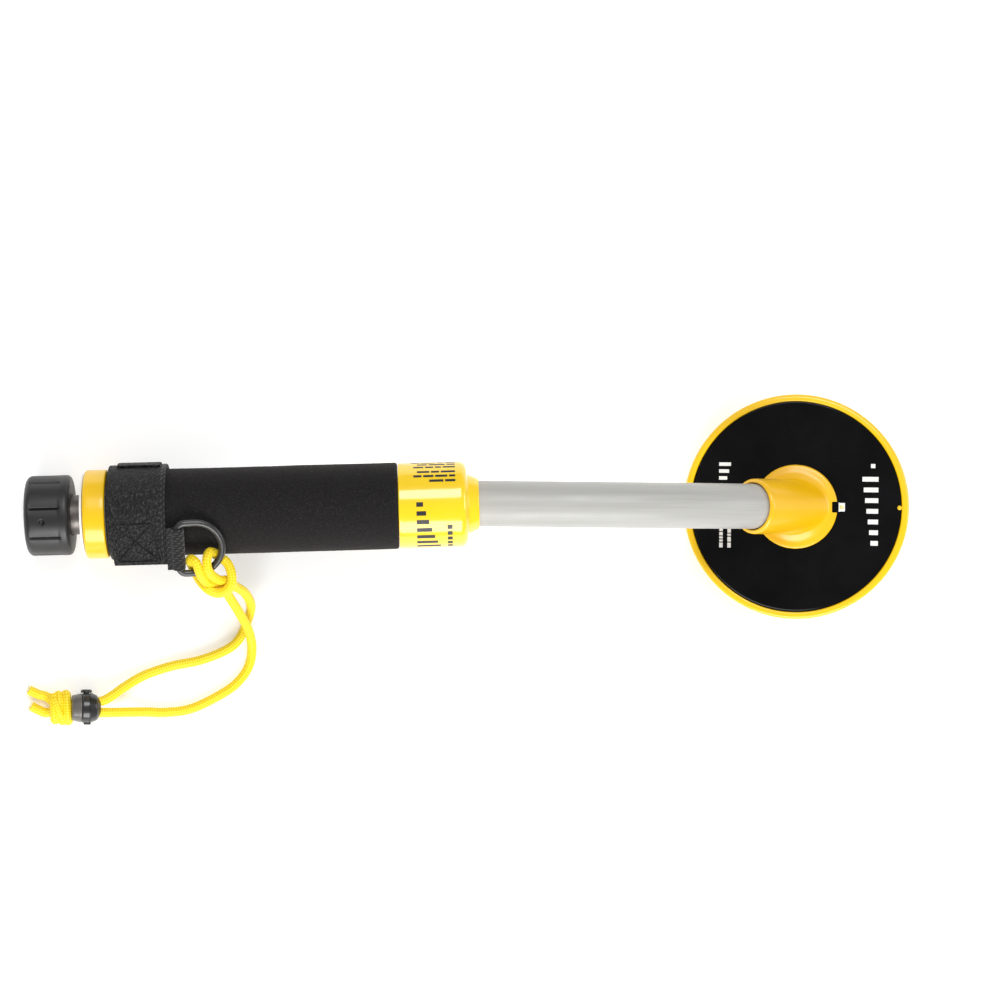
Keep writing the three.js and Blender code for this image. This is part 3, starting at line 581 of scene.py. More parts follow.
def strip(name, matrix, path, low, high, thickness, paint,
          rough=0.06, closed=False, columns=36, lean=None):
    """A strap: path is a line of ((y, z), outward normal) drawn across X, from x = low to x = high."""
    edges = [0, 0.012, 0.03] + [k / (columns - 1) for k in range(1, columns - 1)] + [0.97, 0.988, 1]
    edges = sorted(set(edges))
    uvs = []
    points = []
    for side in (1, -1):
        walked = 0.0
        for i, (centre, normal) in enumerate(path):
            if i:
                walked += (Vector(centre) - Vector(path[i - 1][0])).length
            for t in edges:
                x = low + (high - low) * t
                if lean:
                    x += lean(i / (len(path) - 1)) * (1 - LEAN_FADE * t)
                rim = min(1.0, min(t, 1 - t) * (high - low) / (0.45 * thickness) + 0.25)
                place = Vector((x, centre[0], centre[1]))
                fuzz = noise.noise(place * 0.55) + 0.6 * noise.noise(place * 1.9)
                height = side * 0.5 * thickness * math.sqrt(rim) + (rough * fuzz if side > 0 else 0)
                points.append((x, centre[0] + normal[0] * height, centre[1] + normal[1] * height))
                uvs.append((x - low, walked))
    wide = len(edges)
    count = len(path)
    faces = []
    half = wide * count
    turns = count if closed else count - 1
    for i in range(turns):
        j = (i + 1) % count
        for k in range(wide - 1):
            a, b, c, d = i * wide + k, i * wide + k + 1, j * wide + k + 1, j * wide + k
            faces.append((a, b, c, d))
            faces.append((half + a, half + d, half + c, half + b))
        for k in (0, wide - 1):
            faces.append((i * wide + k, j * wide + k, half + j * wide + k, half + i * wide + k))
    if not closed:
        for i in (0, count - 1):
            for k in range(wide - 1):
                a, b = i * wide + k, i * wide + k + 1
                faces.append((a, b, half + b, half + a))
    return make(name, matrix, points, faces, paint, uvs, sharp=50)


def arc_path(radius, start, end, steps):
    """Part of a ring about X: angles from +Y towards +Z, in degrees."""
    path = []
    for k in range(steps + 1):
        angle = math.radians(start + (end - start) * k / steps)
        normal = (math.cos(angle), math.sin(angle))
        path.append(((radius * normal[0], radius * normal[1]), normal))
    return path


def box(name, matrix, low, high, paint, bevel=0.3, segments=3):
    work = bmesh.new()
    bmesh.ops.create_cube(work, size=1)
    for vertex in work.verts:
        vertex.co = Vector([(low[i] + (vertex.co[i] + 0.5) * (high[i] - low[i])) * MM for i in range(3)])
    if bevel:
        bmesh.ops.bevel(work, geom=work.edges[:], offset=bevel * MM, segments=segments, profile=0.5,
                        affect="EDGES")
    mesh = bpy.data.meshes.new(name)
    work.to_mesh(mesh)
    work.free()
    obj = added(name, mesh)
    obj.matrix_world = matrix
    mesh.materials.append(paint)
    mesh.shade_smooth()
    mesh.set_sharp_from_angle(angle=math.radians(40))
    return obj


def baked(obj):
    """Replaces the mesh by what its modifiers make of it."""
    bpy.context.view_layer.update()
    view = obj.evaluated_get(bpy.context.evaluated_depsgraph_get())
    mesh = bpy.data.meshes.new_from_object(view)
    obj.modifiers.clear()
    obj.data = mesh
    return obj


def modified(obj, kind, **values):
    modifier = obj.modifiers.new(kind.lower(), kind)
    for key, value in values.items():
        setattr(modifier, key, value)
    return obj


def carved(obj, *tools):
    for tool in tools:
        modified(obj, "BOOLEAN", operation="DIFFERENCE", object=tool, solver="EXACT")
        baked(obj)
        bpy.data.objects.remove(tool)
    return obj


def joined(first, *others):
    """One mesh, in the first object's frame, from several."""
    back = first.matrix_world.inverted()
    work = bmesh.new()
    work.from_mesh(first.data)
    for other in others:
        mesh = other.data
        mesh.transform(back @ other.matrix_world)
        work.from_mesh(mesh)
        bpy.data.objects.remove(other)
    work.to_mesh(first.data)
    work.free()
    return first


def settled(obj, body, slot, *nodes):
    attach(obj, body)
    if nodes:
        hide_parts(*nodes)
    return obj


# ---------------------------------------------------------------- the search coil
COIL_RADIUS = 55
RIM = 3.5
COIL_HEIGHT = 14
COIL_FLOOR = 2
DISC_TOP = 13.4
DISC_BOTTOM = 11.8
MENISCUS = 0.5
MENISCUS_REACH = 2.6
BOSS_RADIUS = 20.6
ELBOW_RADIUS = 13.4
ELBOW_REACH = 30.5
SOCKET_DEPTH = 18
FILLET_VOXEL = 0.42
TUBE_RADIUS = 10.85
GAP = 0.3


def coil_shell(paint):
    inner = COIL_RADIUS - RIM
    corners = [
        (COIL_FLOOR, 0, 0), (COIL_FLOOR, inner, 0.6), (COIL_HEIGHT, inner, 0.9),
        (COIL_HEIGHT, COIL_RADIUS, 1.6), (0, COIL_RADIUS, 2.6), (0, 0, 0),
    ]

    def sag(along, angle, r):
        place = Vector((3 * math.cos(angle), 3 * math.sin(angle), along / 6))
        return r + 0.05 * noise.noise(place)

    shell = lathe("visual_coil_shell", COIL, denser(filleted(corners), 3), 256, paint, "Z", sag)
    return settled(shell, "detector", "shell_yellow", "coil_shell")


def coil_disc(paint):
    outer = COIL_RADIUS - RIM - 0.12
    profile = [(DISC_BOTTOM, 0), (DISC_BOTTOM, outer), (DISC_TOP + MENISCUS, outer)]
    for k in range(1, 17):
        reach = MENISCUS_REACH * k / 16
        profile.append((DISC_TOP + MENISCUS * math.exp(-reach * 1.7), outer - reach))
    profile += [(DISC_TOP, 40), (DISC_TOP, 30), (DISC_TOP, 0)]
    disc = lathe("visual_coil_disc", COIL, profile, 256, paint, "Z")
    return settled(disc, "detector", "disc_black", "coil_disc")


def plates(name, matrix, slabs, paint, body, slot):
    """Thin printed marks: slabs of (x low, x high, y low, y high, z low, z high)."""
    pieces = [box(name, matrix, (s[0], s[2], s[4]), (s[1], s[3], s[5]), paint, 0) for s in slabs]
    return settled(joined(*pieces), body, slot)


def disc_marks(paint):
    """Printed strokes and short bars, standing in for the lettering beside the boss."""
    slabs = []
    z = (DISC_TOP - 0.02, DISC_TOP + 0.04)
    for step in range(7):
        y = -18.6 + 5.2 * step
        slabs.append((40.2 - 3.6 - 0.7 * step, 40.2, y, y + 2.3, *z))
    slabs.append((36.5, 38.6, 19.2, 21.2, *z))
    for step in range(3):
        y = 12.9 + 3.4 * step
        slabs.append((-37.6, -33.6 + 0.9 * step, y, y + 1.7, *z))
    for x in (-37.2, -33.2):
        y = -20.4
        while y < -5.5:
            length = random.choice((1.0, 1.7, 2.4))
            slabs.append((x, x + 1.7, y, y + length, *z))
            y += length + 0.5
    return plates("disc_print", COIL, slabs, paint, "detector", "led_white")


def boss(paint):
    """The elbow: a flange, a low dome and a leaning socket, run together with soft fillets."""
    base = DISC_TOP + GAP
    flange = [
        (base, 0, 0), (base, BOSS_RADIUS, 0.2), (FLANGE_PLANE, BOSS_RADIUS, 0.7),
        (FLANGE_PLANE + 0.5, 17.0, 3), (FLANGE_PLANE + 2.4, 13.2, 0), (FLANGE_PLANE + 2.4, 0, 0),
    ]
    body = lathe("visual_elbow_boss", COIL, filleted(flange), 160, paint, "Z")
    lip = [(-20, 0, 0), (-20, ELBOW_RADIUS, 0), (ELBOW_REACH, ELBOW_RADIUS, 1.5), (ELBOW_REACH, 0, 0)]
    barrel = lathe("barrel", ELBOW, filleted(lip), 160, paint, "Z")
    below = box("below", COIL, (-60, -60, -60), (60, 60, base), paint, 0)
    carved(barrel, below)
    modified(body, "BOOLEAN", operation="UNION", object=barrel, solver="EXACT")
    baked(body)
    bpy.data.objects.remove(barrel)
    modified(body, "REMESH", mode="VOXEL", voxel_size=FILLET_VOXEL * MM, use_smooth_shade=True)
    modified(body, "SMOOTH", factor=0.5, iterations=16)
    baked(body)
    bore = [
        (ELBOW_REACH - SOCKET_DEPTH, 0), (ELBOW_REACH - SOCKET_DEPTH, TUBE_RADIUS + GAP),
        (ELBOW_REACH - 1.0, TUBE_RADIUS + GAP), (ELBOW_REACH + 1, TUBE_RADIUS + 1.5), (ELBOW_REACH + 3, 0),
    ]
    socket = lathe("socket", ELBOW, bore, 128, paint, "Z")
    notch_low = (BOSS_RADIUS - 2.7, -2.65, base - 1)
    notch_high = (BOSS_RADIUS + 2, 2.65, FLANGE_PLANE + 6)
    notch = box("notch", COIL, notch_low, notch_high, paint, 0.4)
    carved(body, socket, notch)
    body.data.shade_smooth()
    body.data.set_sharp_from_angle(angle=math.radians(45))
    return settled(body, "detector", "shell_yellow", "elbow_boss")


def indicator(paints):
    low, high = span("indicator_led", COIL)
    body = box("led_body", COIL, tuple(low), tuple(high), paints["white"], 0.25)
    settled(body, "detector", "led_white", "indicator_led")
    middle = (low + high) / 2
    dome = [
        (high.z - 0.05, 0), (high.z - 0.05, 1.1), (high.z + 0.02, 1.1), (high.z + 0.12, 0.8),
        (high.z + 0.15, 0),
    ]
    eye = lathe("led_lens", shifted(COIL, middle.x, middle.y), dome, 48, paints["lens"], "Z")
    settled(eye, "detector", "led_white")
    pads = []
    for y in (-2.05, 2.05):
        pads.append((low.x - 0.1, low.x + 0.5, y - 0.25, y + 0.25, DISC_TOP - 0.02, DISC_TOP + 0.15))
    plates("led_pads", COIL, pads, paints["white"], "detector", "led_white")
    tip = [
        (DISC_TOP - 0.3, 0), (DISC_TOP - 0.3, 1.2), (DISC_TOP + 0.2, 1.15), (DISC_TOP + 0.55, 0.8),
        (DISC_TOP + 0.7, 0),
    ]
    pip = lathe("locating_pip", shifted(COIL, 50.6), tip, 40, paints["shell"], "Z")
    settled(pip, "detector", "shell_yellow")


# ---------------------------------------------------------------- the shaft
TUBE_SIDES = 112


def shaft_line(start, stop, step=1.5):
    """The centre line, in the device frame, from x = start to a distance from the coil's flange."""
    drop = ELBOW_DROP
    corner = -AXIS_HEIGHT / math.tan(drop)
    bend = corner - BEND_RADIUS * math.tan(drop / 2)
    line = [Vector((start, 0, 0)), Vector((bend, 0, 0))]
    for k in range(1, 49):
        angle = drop * k / 48
        sweep = (BEND_RADIUS * math.sin(angle), BEND_RADIUS * (math.cos(angle) - 1))
        line.append(Vector((bend + sweep[0], 0, sweep[1])))
    line.append(Vector((-stop * math.cos(drop), 0, -AXIS_HEIGHT + stop * math.sin(drop))))
    return even_line(line, step)


def shaft(paint):
    neck_x = (DEVICE.inverted() @ HANDLE.translation).x / MM
    line = shaft_line(neck_x - 15, ELBOW_REACH - SOCKET_DEPTH + GAP)
    pipe = tube("visual_shaft_tube", DEVICE, line, TUBE_RADIUS, TUBE_SIDES, paint)
    return settled(pipe, "detector", "pvc_grey", "shaft_tube")


# ---------------------------------------------------------------- the handle
COUPLING_RADIUS = 20.15


def coupling(paint):
    front = span("front_coupling", HANDLE)[1].x
    face = front - 5.5
    rear = face - 32.3
    corners = [
        (rear, 12, 0), (rear, COUPLING_RADIUS, 0.5), (face, COUPLING_RADIUS, 3.6), (face, 14.4, 1.2),
        (front, 11.9, 0.8), (front, TUBE_RADIUS + 0.1, 0), (front - 8, TUBE_RADIUS + 0.1, 0),
        (front - 8, 9, 0), (rear, 9, 0),
    ]
    body = lathe("visual_front_coupling", HANDLE, denser(filleted(corners), 2.5), 192, paint)
    return settled(body, "detector", "label_yellow", "front_coupling")


def wrapped_marks(name, patches, radius, paint, slot):
    """Printed bars that follow the coupling's curve: (x low, x high, angle low, angle high)."""
    points, faces = [], []
    for x0, x1, a0, a1 in patches:
        steps = max(2, math.ceil(abs(a1 - a0) / 3))
        first = len(points)
        for r in (radius - 0.05, radius + 0.035):
            for k in range(steps + 1):
                angle = math.radians(a0 + (a1 - a0) * k / steps)
                for x in (x0, x1):
                    points.append((x, r * math.cos(angle), r * math.sin(angle)))
        layer = 2 * (steps + 1)
        for k in range(steps):
            a = first + 2 * k
            faces.append((a, a + 1, a + 3, a + 2))
            faces.append((layer + a, layer + a + 2, layer + a + 3, layer + a + 1))
            faces.append((a, a + 2, layer + a + 2, layer + a))
            faces.append((a + 1, layer + a + 1, layer + a + 3, a + 3))
        for k in (0, steps):
            a = first + 2 * k
            faces.append((a, layer + a, layer + a + 1, a + 1))
    obj = make(name, HANDLE, points, faces, paint)
    return settled(obj, "detector", slot)


def label(paint):
    """Rows of short bars and a rising row of strokes, in place of the printed words and mark."""
    patches = []
    rows = ((5, 3, 7, 4), (4, 8, 5), (6, 3, 4, 5), (7, 4, 6), (3, 6, 5, 4), (5, 7))
    for row, words in enumerate(rows):
        x = -11.0
        angle = 13 + row * 8 + (3 if row > 2 else 0)
        for word in words:
            patches.append((x - word * 0.95, x, angle - 1.9, angle + 1.9))
            x -= word * 0.95 + 0.8
    for step in range(7):
        angle = 86 + 12 * step
        patches.append((-29.5, -29.5 + 3.2 + 1.3 * step, angle, angle + 6))
    for step in range(5):
        angle = 118 + 10 * step
        patches.append((-15.2, -12.9, angle, angle + 6.5))
    return wrapped_marks("label_print", patches, COUPLING_RADIUS, paint, "component_black")


def grip(paint):
    low, high = span("foam_grip", HANDLE)
    radius = high.z
    corners = [(low.x, 17.9, 0), (low.x, radius, 1.1), (high.x, radius, 1.1), (high.x, 17.9, 0)]

    def shape(along, angle, r):
        place = Vector((along * 0.06, 1.3 * math.cos(angle), 1.3 * math.sin(angle)))
        fine = Vector((along * 0.5, 9 * math.cos(angle), 9 * math.sin(angle)))
        dent = 0.16 * noise.noise(place) + 0.05 * noise.noise(fine) - 0.12
        return r + (dent if r > 19 else 0)

    sleeve = lathe("visual_foam_grip", HANDLE, denser(filleted(corners), 0.9), 200, paint, shape=shape)
    settled(sleeve, "detector", "foam_black", "foam_grip")


def collar(paint):
    low, high = span("rear_collar", HANDLE)
    radius = high.z
    corners = [(low.x, 17.9, 0), (low.x, radius, 1.3), (high.x, radius, 1.0), (high.x, 17.9, 0)]
    ring = lathe("visual_rear_collar", HANDLE, denser(filleted(corners), 2), 192, paint)
    return settled(ring, "detector", "shell_yellow", "rear_collar")


# ---------------------------------------------------------------- the knob
KNOB_LOBES = 8
KNOB_RADIUS = 18.85
SHANK_SINK = 8.3
SHANK_RADIUS = 9.3
STUD_RADIUS = 4


def knob(paint):
    low, high = span("knob", HANDLE)
    radius = KNOB_RADIUS
    rear, front = low.x, high.x
    corners = [
        (front - SHANK_SINK, 0, 0), (front - SHANK_SINK, SHANK_RADIUS + GAP, 0),
        (front, SHANK_RADIUS + GAP, 0.5), (front, radius, 2.2), (rear, radius, 3.2), (rear, 12.5, 1.2),
        (rear + 0.9, 11.6, 0.6), (rear + 0.9, 0, 0),
    ]
    profile = denser(filleted(corners, 9), 0.4)
    groove_front = front - 4.4

    def shape(along, angle, r):
        if r < radius - 3.4:
            return r
        turn = KNOB_LOBES * (angle - math.radians(35)) / (2 * math.pi)
        off = abs(turn - round(turn)) * 2 * math.pi / KNOB_LOBES * radius
        window = 1 / (1 + math.exp(min(60, (along - groove_front) * 5)))
        window /= 1 + math.exp(min(60, (rear + 2.6 - along) * 5))
        groove = 1.15 * math.exp(-(off / 0.5) ** 4) + 0.30 * math.exp(-(off / 3.4) ** 2)
        hole = math.hypot(along - (rear + 8.5), (angle - math.radians(99.7)) * radius)
        dimple = 1.3 / (1 + math.exp(min(60, (hole - 1.15) * 9)))
        return r - groove * window - dimple

    body = lathe("visual_knob", HANDLE, profile, 320, paint, shape=shape, sharp=70)
    return settled(body, "knob", "knob_black", "knob")


def shank(paint):
    """The knob's turned steel shank, with the stud that carries the contact disc."""
    rear = span("knob", HANDLE)[1].x - SHANK_SINK + GAP
    front = span("end_plug", HANDLE)[0].x + 4.0
    tip = span("knob_stud", HANDLE)[1].x
    corners = [
        (rear, 0, 0), (rear, SHANK_RADIUS, 0.2), (front, SHANK_RADIUS, 0.4), (front, STUD_RADIUS, 0),
        (tip, STUD_RADIUS, 0.4), (tip, 0, 0),
    ]
    turned_part = lathe("visual_knob_stud", HANDLE, denser(filleted(corners), 1.0), 128, paint)
    return settled(turned_part, "knob", "steel", "knob_stud")


# ---------------------------------------------------------------- the wrist strap
FLAP_LENGTH = 17.5
WRAP_ARC = math.radians(200)
LAYER = 0.8
UNDER_START = 7.2
LEAN = 2.6


def flap_line(radius, reach):
    """A point on the strap and its normal: reach is past the tangent, or back round it if negative."""
    if reach < 0:
        angle = math.pi / 2 + FLAP_ANGLE + reach / radius
        normal = (math.cos(angle), math.sin(angle))
        return (radius * normal[0], radius * normal[1]), normal
    normal = (-math.sin(FLAP_ANGLE), math.cos(FLAP_ANGLE))
    along = (-math.cos(FLAP_ANGLE), -math.sin(FLAP_ANGLE))
    return (radius * normal[0] + along[0] * reach, radius * normal[1] + along[1] * reach), normal


def flap_lean(reach):
    """How far the strap's rear edge has drifted forward at this reach."""
    return LEAN * max(0.0, min(1.0, (reach + 6) / (FLAP_LENGTH + 6))) ** 1.3


def strap(paints):
    fabric = paints["strap"]
    low, high = span("strap_band", HANDLE)
    band_radius = high.z - LAYER / 2
    path = arc_path(band_radius, 0, 360, 150)[:-1]
    band = strip("visual_strap_band", HANDLE, path, low.x, high.x, LAYER, fabric, closed=True)
    settled(band, "detector", "strap_fabric", "strap_band")

    wrap_radius = band_radius + LAYER + GAP
    arc = WRAP_ARC * wrap_radius
    total = arc + FLAP_LENGTH
    path = [flap_line(wrap_radius, -arc + total * k / 190) for k in range(191)]
    drift = lambda t: flap_lean(-arc + total * t)
    wrap = strip("visual_strap_wrap", HANDLE, path, low.x, high.x, LAYER, fabric, rough=0.09, lean=drift)
    settled(wrap, "detector", "strap_fabric", "strap_wrap")

    under_radius = wrap_radius - LAYER - GAP
    lap = FLAP_LENGTH - UNDER_START
    path = [flap_line(under_radius, UNDER_START + lap * k / 20) for k in range(21)]
    drift = lambda t: flap_lean(UNDER_START + lap * t)
    under = strip("visual_strap_flap", HANDLE, path, low.x, high.x, LAYER, fabric, lean=drift)
    settled(under, "detector", "strap_fabric", "strap_flap")

    tab_radius = wrap_radius + LAYER + GAP
    path = arc_path(tab_radius, -22, 20, 40)
    tab = strip("visual_strap_tab", HANDLE, path, low.x + 4, high.x - 3, LAYER, fabric)
    settled(tab, "detector", "strap_fabric", "strap_tab")

    stitches(paints["thread"], wrap_radius + LAYER / 2, low.x, high.x)
    selvage(paints["webbing"], wrap_radius, low.x, high.x, arc)


def selvage(paint, radius, low, high, arc):
    """The smooth bound edge along the strap's front side."""
    start = -0.55 * arc
    length = FLAP_LENGTH - 0.4 - start
    path = [flap_line(radius + 0.32, start + length * k / 90) for k in range(91)]
    edge = strip("strap_selvage", HANDLE, path, high - 2.1, high - 0.15, 0.55, paint, rough=0.02, columns=8)
    return settled(edge, "detector", "strap_fabric")


def stitches(paint, radius, low, high):
    """A box and a cross in heavy thread through the flap."""
    rear, front = low + 2.4, high - 4.3
    top, bottom = -2.4, FLAP_LENGTH - 1.6
    runs = [
        ((rear, top), (front - 2, top)), ((front - 2, top), (front, bottom)),
        ((front, bottom), (rear, bottom)), ((rear, bottom), (rear, top)),
        ((rear, top), (front, bottom)), ((front - 2, top), (rear, bottom)),
    ]
    pieces = []
    for (xa, ra), (xb, rb) in runs:
        length = math.hypot(xb - xa, rb - ra)
        count = max(2, round(length / 2.3))
        for k in range(count):
            line = []
            for j in range(7):
                t = (k + 0.08 + 0.84 * j / 6) / count
                (y, z), normal = flap_line(radius, ra + (rb - ra) * t)
                rise = 0.34 * math.sin(math.pi * j / 6) + 0.04
                across = xa + (xb - xa) * t
                across += flap_lean(ra + (rb - ra) * t) * (1 - LEAN_FADE * (across - low) / (high - low))
                line.append(Vector((across, y + normal[0] * rise, z + normal[1] * rise)))
            pieces.append(tube("strap_stitching", HANDLE, line, 0.34, 8, paint))
    return settled(joined(*pieces), "detector", "strap_fabric")


# ---------------------------------------------------------------- webbing loop, D-ring and lanyard
WEBBING_THICK = 1.2
RING_WIRE = 1.65
RING_HALF = 12.4
RING_CORNER = 3.5
RING_ARC = 8.0


def webbing_loop(paint):
    low, high = span("webbing_loop", WEBBING)
    middle = high.x - WEBBING_THICK / 2
    half = WEBBING_THICK / 2 + GAP / 2
    meet = math.asin(half / middle)
    path = []
    tail = low.x
    flat_end = -middle * math.cos(meet)
    for k in range(9):
        path.append(((tail + (flat_end - tail) * k / 8, -half), (0, -1)))
    for k in range(1, 60):
        angle = math.pi + meet + (2 * math.pi - 2 * meet) * k / 60
        normal = (math.cos(angle), math.sin(angle))
        path.append(((middle * normal[0], middle * normal[1]), normal))
    for k in range(9):
        path.append(((flat_end + (tail - flat_end) * k / 8, half), (0, 1)))
    loop = strip("visual_webbing_loop", WEBBING, path, low.y, high.y, WEBBING_THICK, paint, rough=0.03)
    # The strip was drawn across X; the loop runs across Y.
    swap = Matrix(((0, 1, 0, 0), (1, 0, 0, 0), (0, 0, 1, 0), (0, 0, 0, 1)))
    loop.data.transform(swap)
    tidied(loop.data, 50)
    settled(loop, "detector", "webbing_black", "webbing_loop")


def ring_line():
    half, corner, arc = RING_HALF, RING_CORNER, RING_ARC
    line = [Vector((0, 0.2, 0)), Vector((0, half - corner, 0))]
    for k in range(1, 13):
        angle = math.pi / 2 * k / 12
        line.append(Vector((corner - corner * math.cos(angle), half - corner + corner * math.sin(angle), 0)))
    for k in range(61):
        angle = math.pi * k / 60
        line.append(Vector((arc + half * math.sin(angle), half * math.cos(angle), 0)))
    for k in range(13):
        angle = math.pi / 2 * k / 12
        line.append(Vector((corner - corner * math.sin(angle), corner - half - corner * math.cos(angle), 0)))
    line.append(Vector((0, -0.2, 0)))
    return even_line(line, 0.6)


def d_ring(paint):
    wobble = lambda angle, walked: 0.02 * noise.noise(Vector((angle, walked * 0.4, 3)))
    ring = tube("visual_d_ring", RING, ring_line(), RING_WIRE, 32, paint, wobble)
    return settled(ring, "d_ring", "ring_metal", "d_ring")


HITCH_START = (18.8, -6.6, -3.9)
HITCH_ONE = [
    HITCH_START, (22.2, -9.2, -2.3), (23.9, -13.2, 0.2), (23.8, -17.6, 1.8), (21.4, -21.2, 2.0),
    (17.4, -22.7, 1.6), (12.9, -21.0, 0.4), (9.3, -17.4, -2.4), (7.0, -12.4, -4.0), (5.4, -7.8, -2.4),
    (5.7, -5.2, 0.6), (7.9, -6.3, 3.2), (9.6, -11.6, 4.1), (12.3, -16.6, 1.6), (17.0, -19.4, -2.2),
    (22.5, -22.6, -4.2),
]
HITCH_TWO = [
    HITCH_START, (15.6, -3.6, -2.2), (14.0, -2.9, 0.9), (12.8, -5.8, 3.6), (13.6, -10.8, 4.1),
    (17.8, -16.4, 0.6), (22.9, -18.6, -3),
]
STRAND_ONE = [
    (-118.4, -43.9, 30), (-112.1, -52.8, 19.5), (-106.8, -61.3, 11), (-104.2, -70.2, 5),
    (-105.3, -79.5, 2.5), (-111, -87.7, 2.3), (-120, -94, 2.3), (-132.9, -100, 2.3), (-144.9, -101.7, 2.4),
    (-154.5, -101.4, 3.2), (-165.1, -101.3, 5.4), (-170.5, -101.3, 6.9), (-175.6, -101.3, 7.3),
    (-183, -101.3, 7.3), (-190, -100.4, 6.0), (-195.6, -98.4, 5.0), (-201.3, -94.2, 2.4),
    (-205.5, -92.9, 2.3), (-209.8, -90.9, 2.3),
]
STRAND_TWO = [
    (-115.6, -39.9, 32.5), (-109.7, -43.6, 23.5), (-105.7, -50.2, 13), (-106.7, -58.2, 4.6),
    (-110.2, -66.5, 2.5), (-116.4, -71.8, 2.3), (-128.4, -76.6, 2.3), (-142.2, -79.5, 2.3),
    (-155.1, -83.8, 2.8), (-164.5, -89.0, 4.8), (-170.3, -93.0, 6.4), (-175.6, -95.8, 7.2),
    (-183, -96.7, 7.3), (-190, -98.0, 6.0), (-195.6, -99.6, 5.0), (-201.3, -101.6, 2.4), (-205, -100.4, 2.3),
    (-208.6, -98.6, 2.3),
]
LOCK_CENTRE = (-183, -99, 7.2)
KNOT_CENTRE = (-195.6, -99, 5.1)
# Each turn of the knot: start and end along the cords, number of turns, half width, half height, phase.
KNOT_TURNS = [
    (-3.0, 1.2, 1.6, 5.9, 2.6, 0.3), (1.4, 4.6, 1.3, 6.3, 2.8, 2.0), (-3.4, 3.8, 0.55, 5.0, 3.3, 0.35),
]
FRAY_THREADS = 34
LOCK_WELL = 3.0
LOCK_BUTTON = 2.7


def braid(angle, walked):
    """The diamond relief of a round braid, in millimetres."""
    one = math.sin(BRAID_STRANDS * angle + BRAID_LAY * walked)
    two = math.sin(BRAID_STRANDS * angle - BRAID_LAY * walked)
    return -0.13 * one * two


def in_row(matrix, points):
    return [tuple(matrix @ (Vector(p) * MM) / MM) for p in points]


def cord_piece(name, points, paint, sides=40, step=0.25):
    line = smooth_line(points, step)
    return tube(name, Matrix.Identity(4), line, CORD_RADIUS, sides, paint, braid), line


def lanyard(paints):
    cord = paints["cord"]
    knot = knot_wraps(cord)
    lock, button = cord_lock(paints)
    nodes_one = ("lanyard_strand_1", "lanyard_tail_1", "lanyard_hitch")
    nodes_two = ("lanyard_strand_2", "lanyard_tail_2")
    for name, hitch, strand, nodes in (
            ("lanyard_cord_1", HITCH_ONE, STRAND_ONE, nodes_one),
            ("lanyard_cord_2", HITCH_TWO, STRAND_TWO, nodes_two)):
        points = in_row(RING, hitch) + list(strand)
        obj, line = cord_piece(name, points, cord)
        fray(name + "_end", line, paints["fray"])
        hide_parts(*nodes)
        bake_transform(obj)


def knot_wraps(paint):
    """Doubled cord drawn tight round the pair: two turns side by side and one slanting over them."""
    pieces = []
    x, y, z = KNOT_CENTRE
    for start, end, turns, high, deep, phase in KNOT_TURNS:
        points = []
        count = max(8, int(16 * turns))
        for k in range(count + 1):
            t = k / count
            angle = phase + 2 * math.pi * turns * t
            along = start + (end - start) * t
            points.append((x + along, y + high * math.cos(angle), z + deep * math.sin(angle)))
        line = smooth_line(points, 0.3)
        drawn_in = CORD_RADIUS * 0.98
        pieces.append(tube("visual_lanyard_knot", Matrix.Identity(4), line, drawn_in, 40, paint, braid))
    return settled(joined(*pieces), "detector", "cord_yellow", "lanyard_knot")


def fray(name, line, paint):
    """Loose threads at the cut end of a cord."""
    end = line[-1]
    along = (line[-1] - line[-4]).normalized()
    side = along.orthogonal().normalized()
    other = along.cross(side)
    pieces = []
    for k in range(FRAY_THREADS):
        angle = random.uniform(0, 2 * math.pi)
        reach = CORD_RADIUS * math.sqrt(random.uniform(0.02, 0.9))
        out = side * math.cos(angle) + other * math.sin(angle)
        base = end + out * reach * 0.9 - along * 0.4
        length = random.uniform(0.8, 1.7)
        bend = base + along * length * 0.6 + out * 0.08
        points = [base, bend, base + along * length + out * random.uniform(0.1, 0.5)]
        if min(p.z for p in points) > 0.25:
            pieces.append(tube(name, Matrix.Identity(4), smooth_line(points, 0.3), 0.16, 6, paint))
    return settled(joined(*pieces), "detector", "cord_yellow")


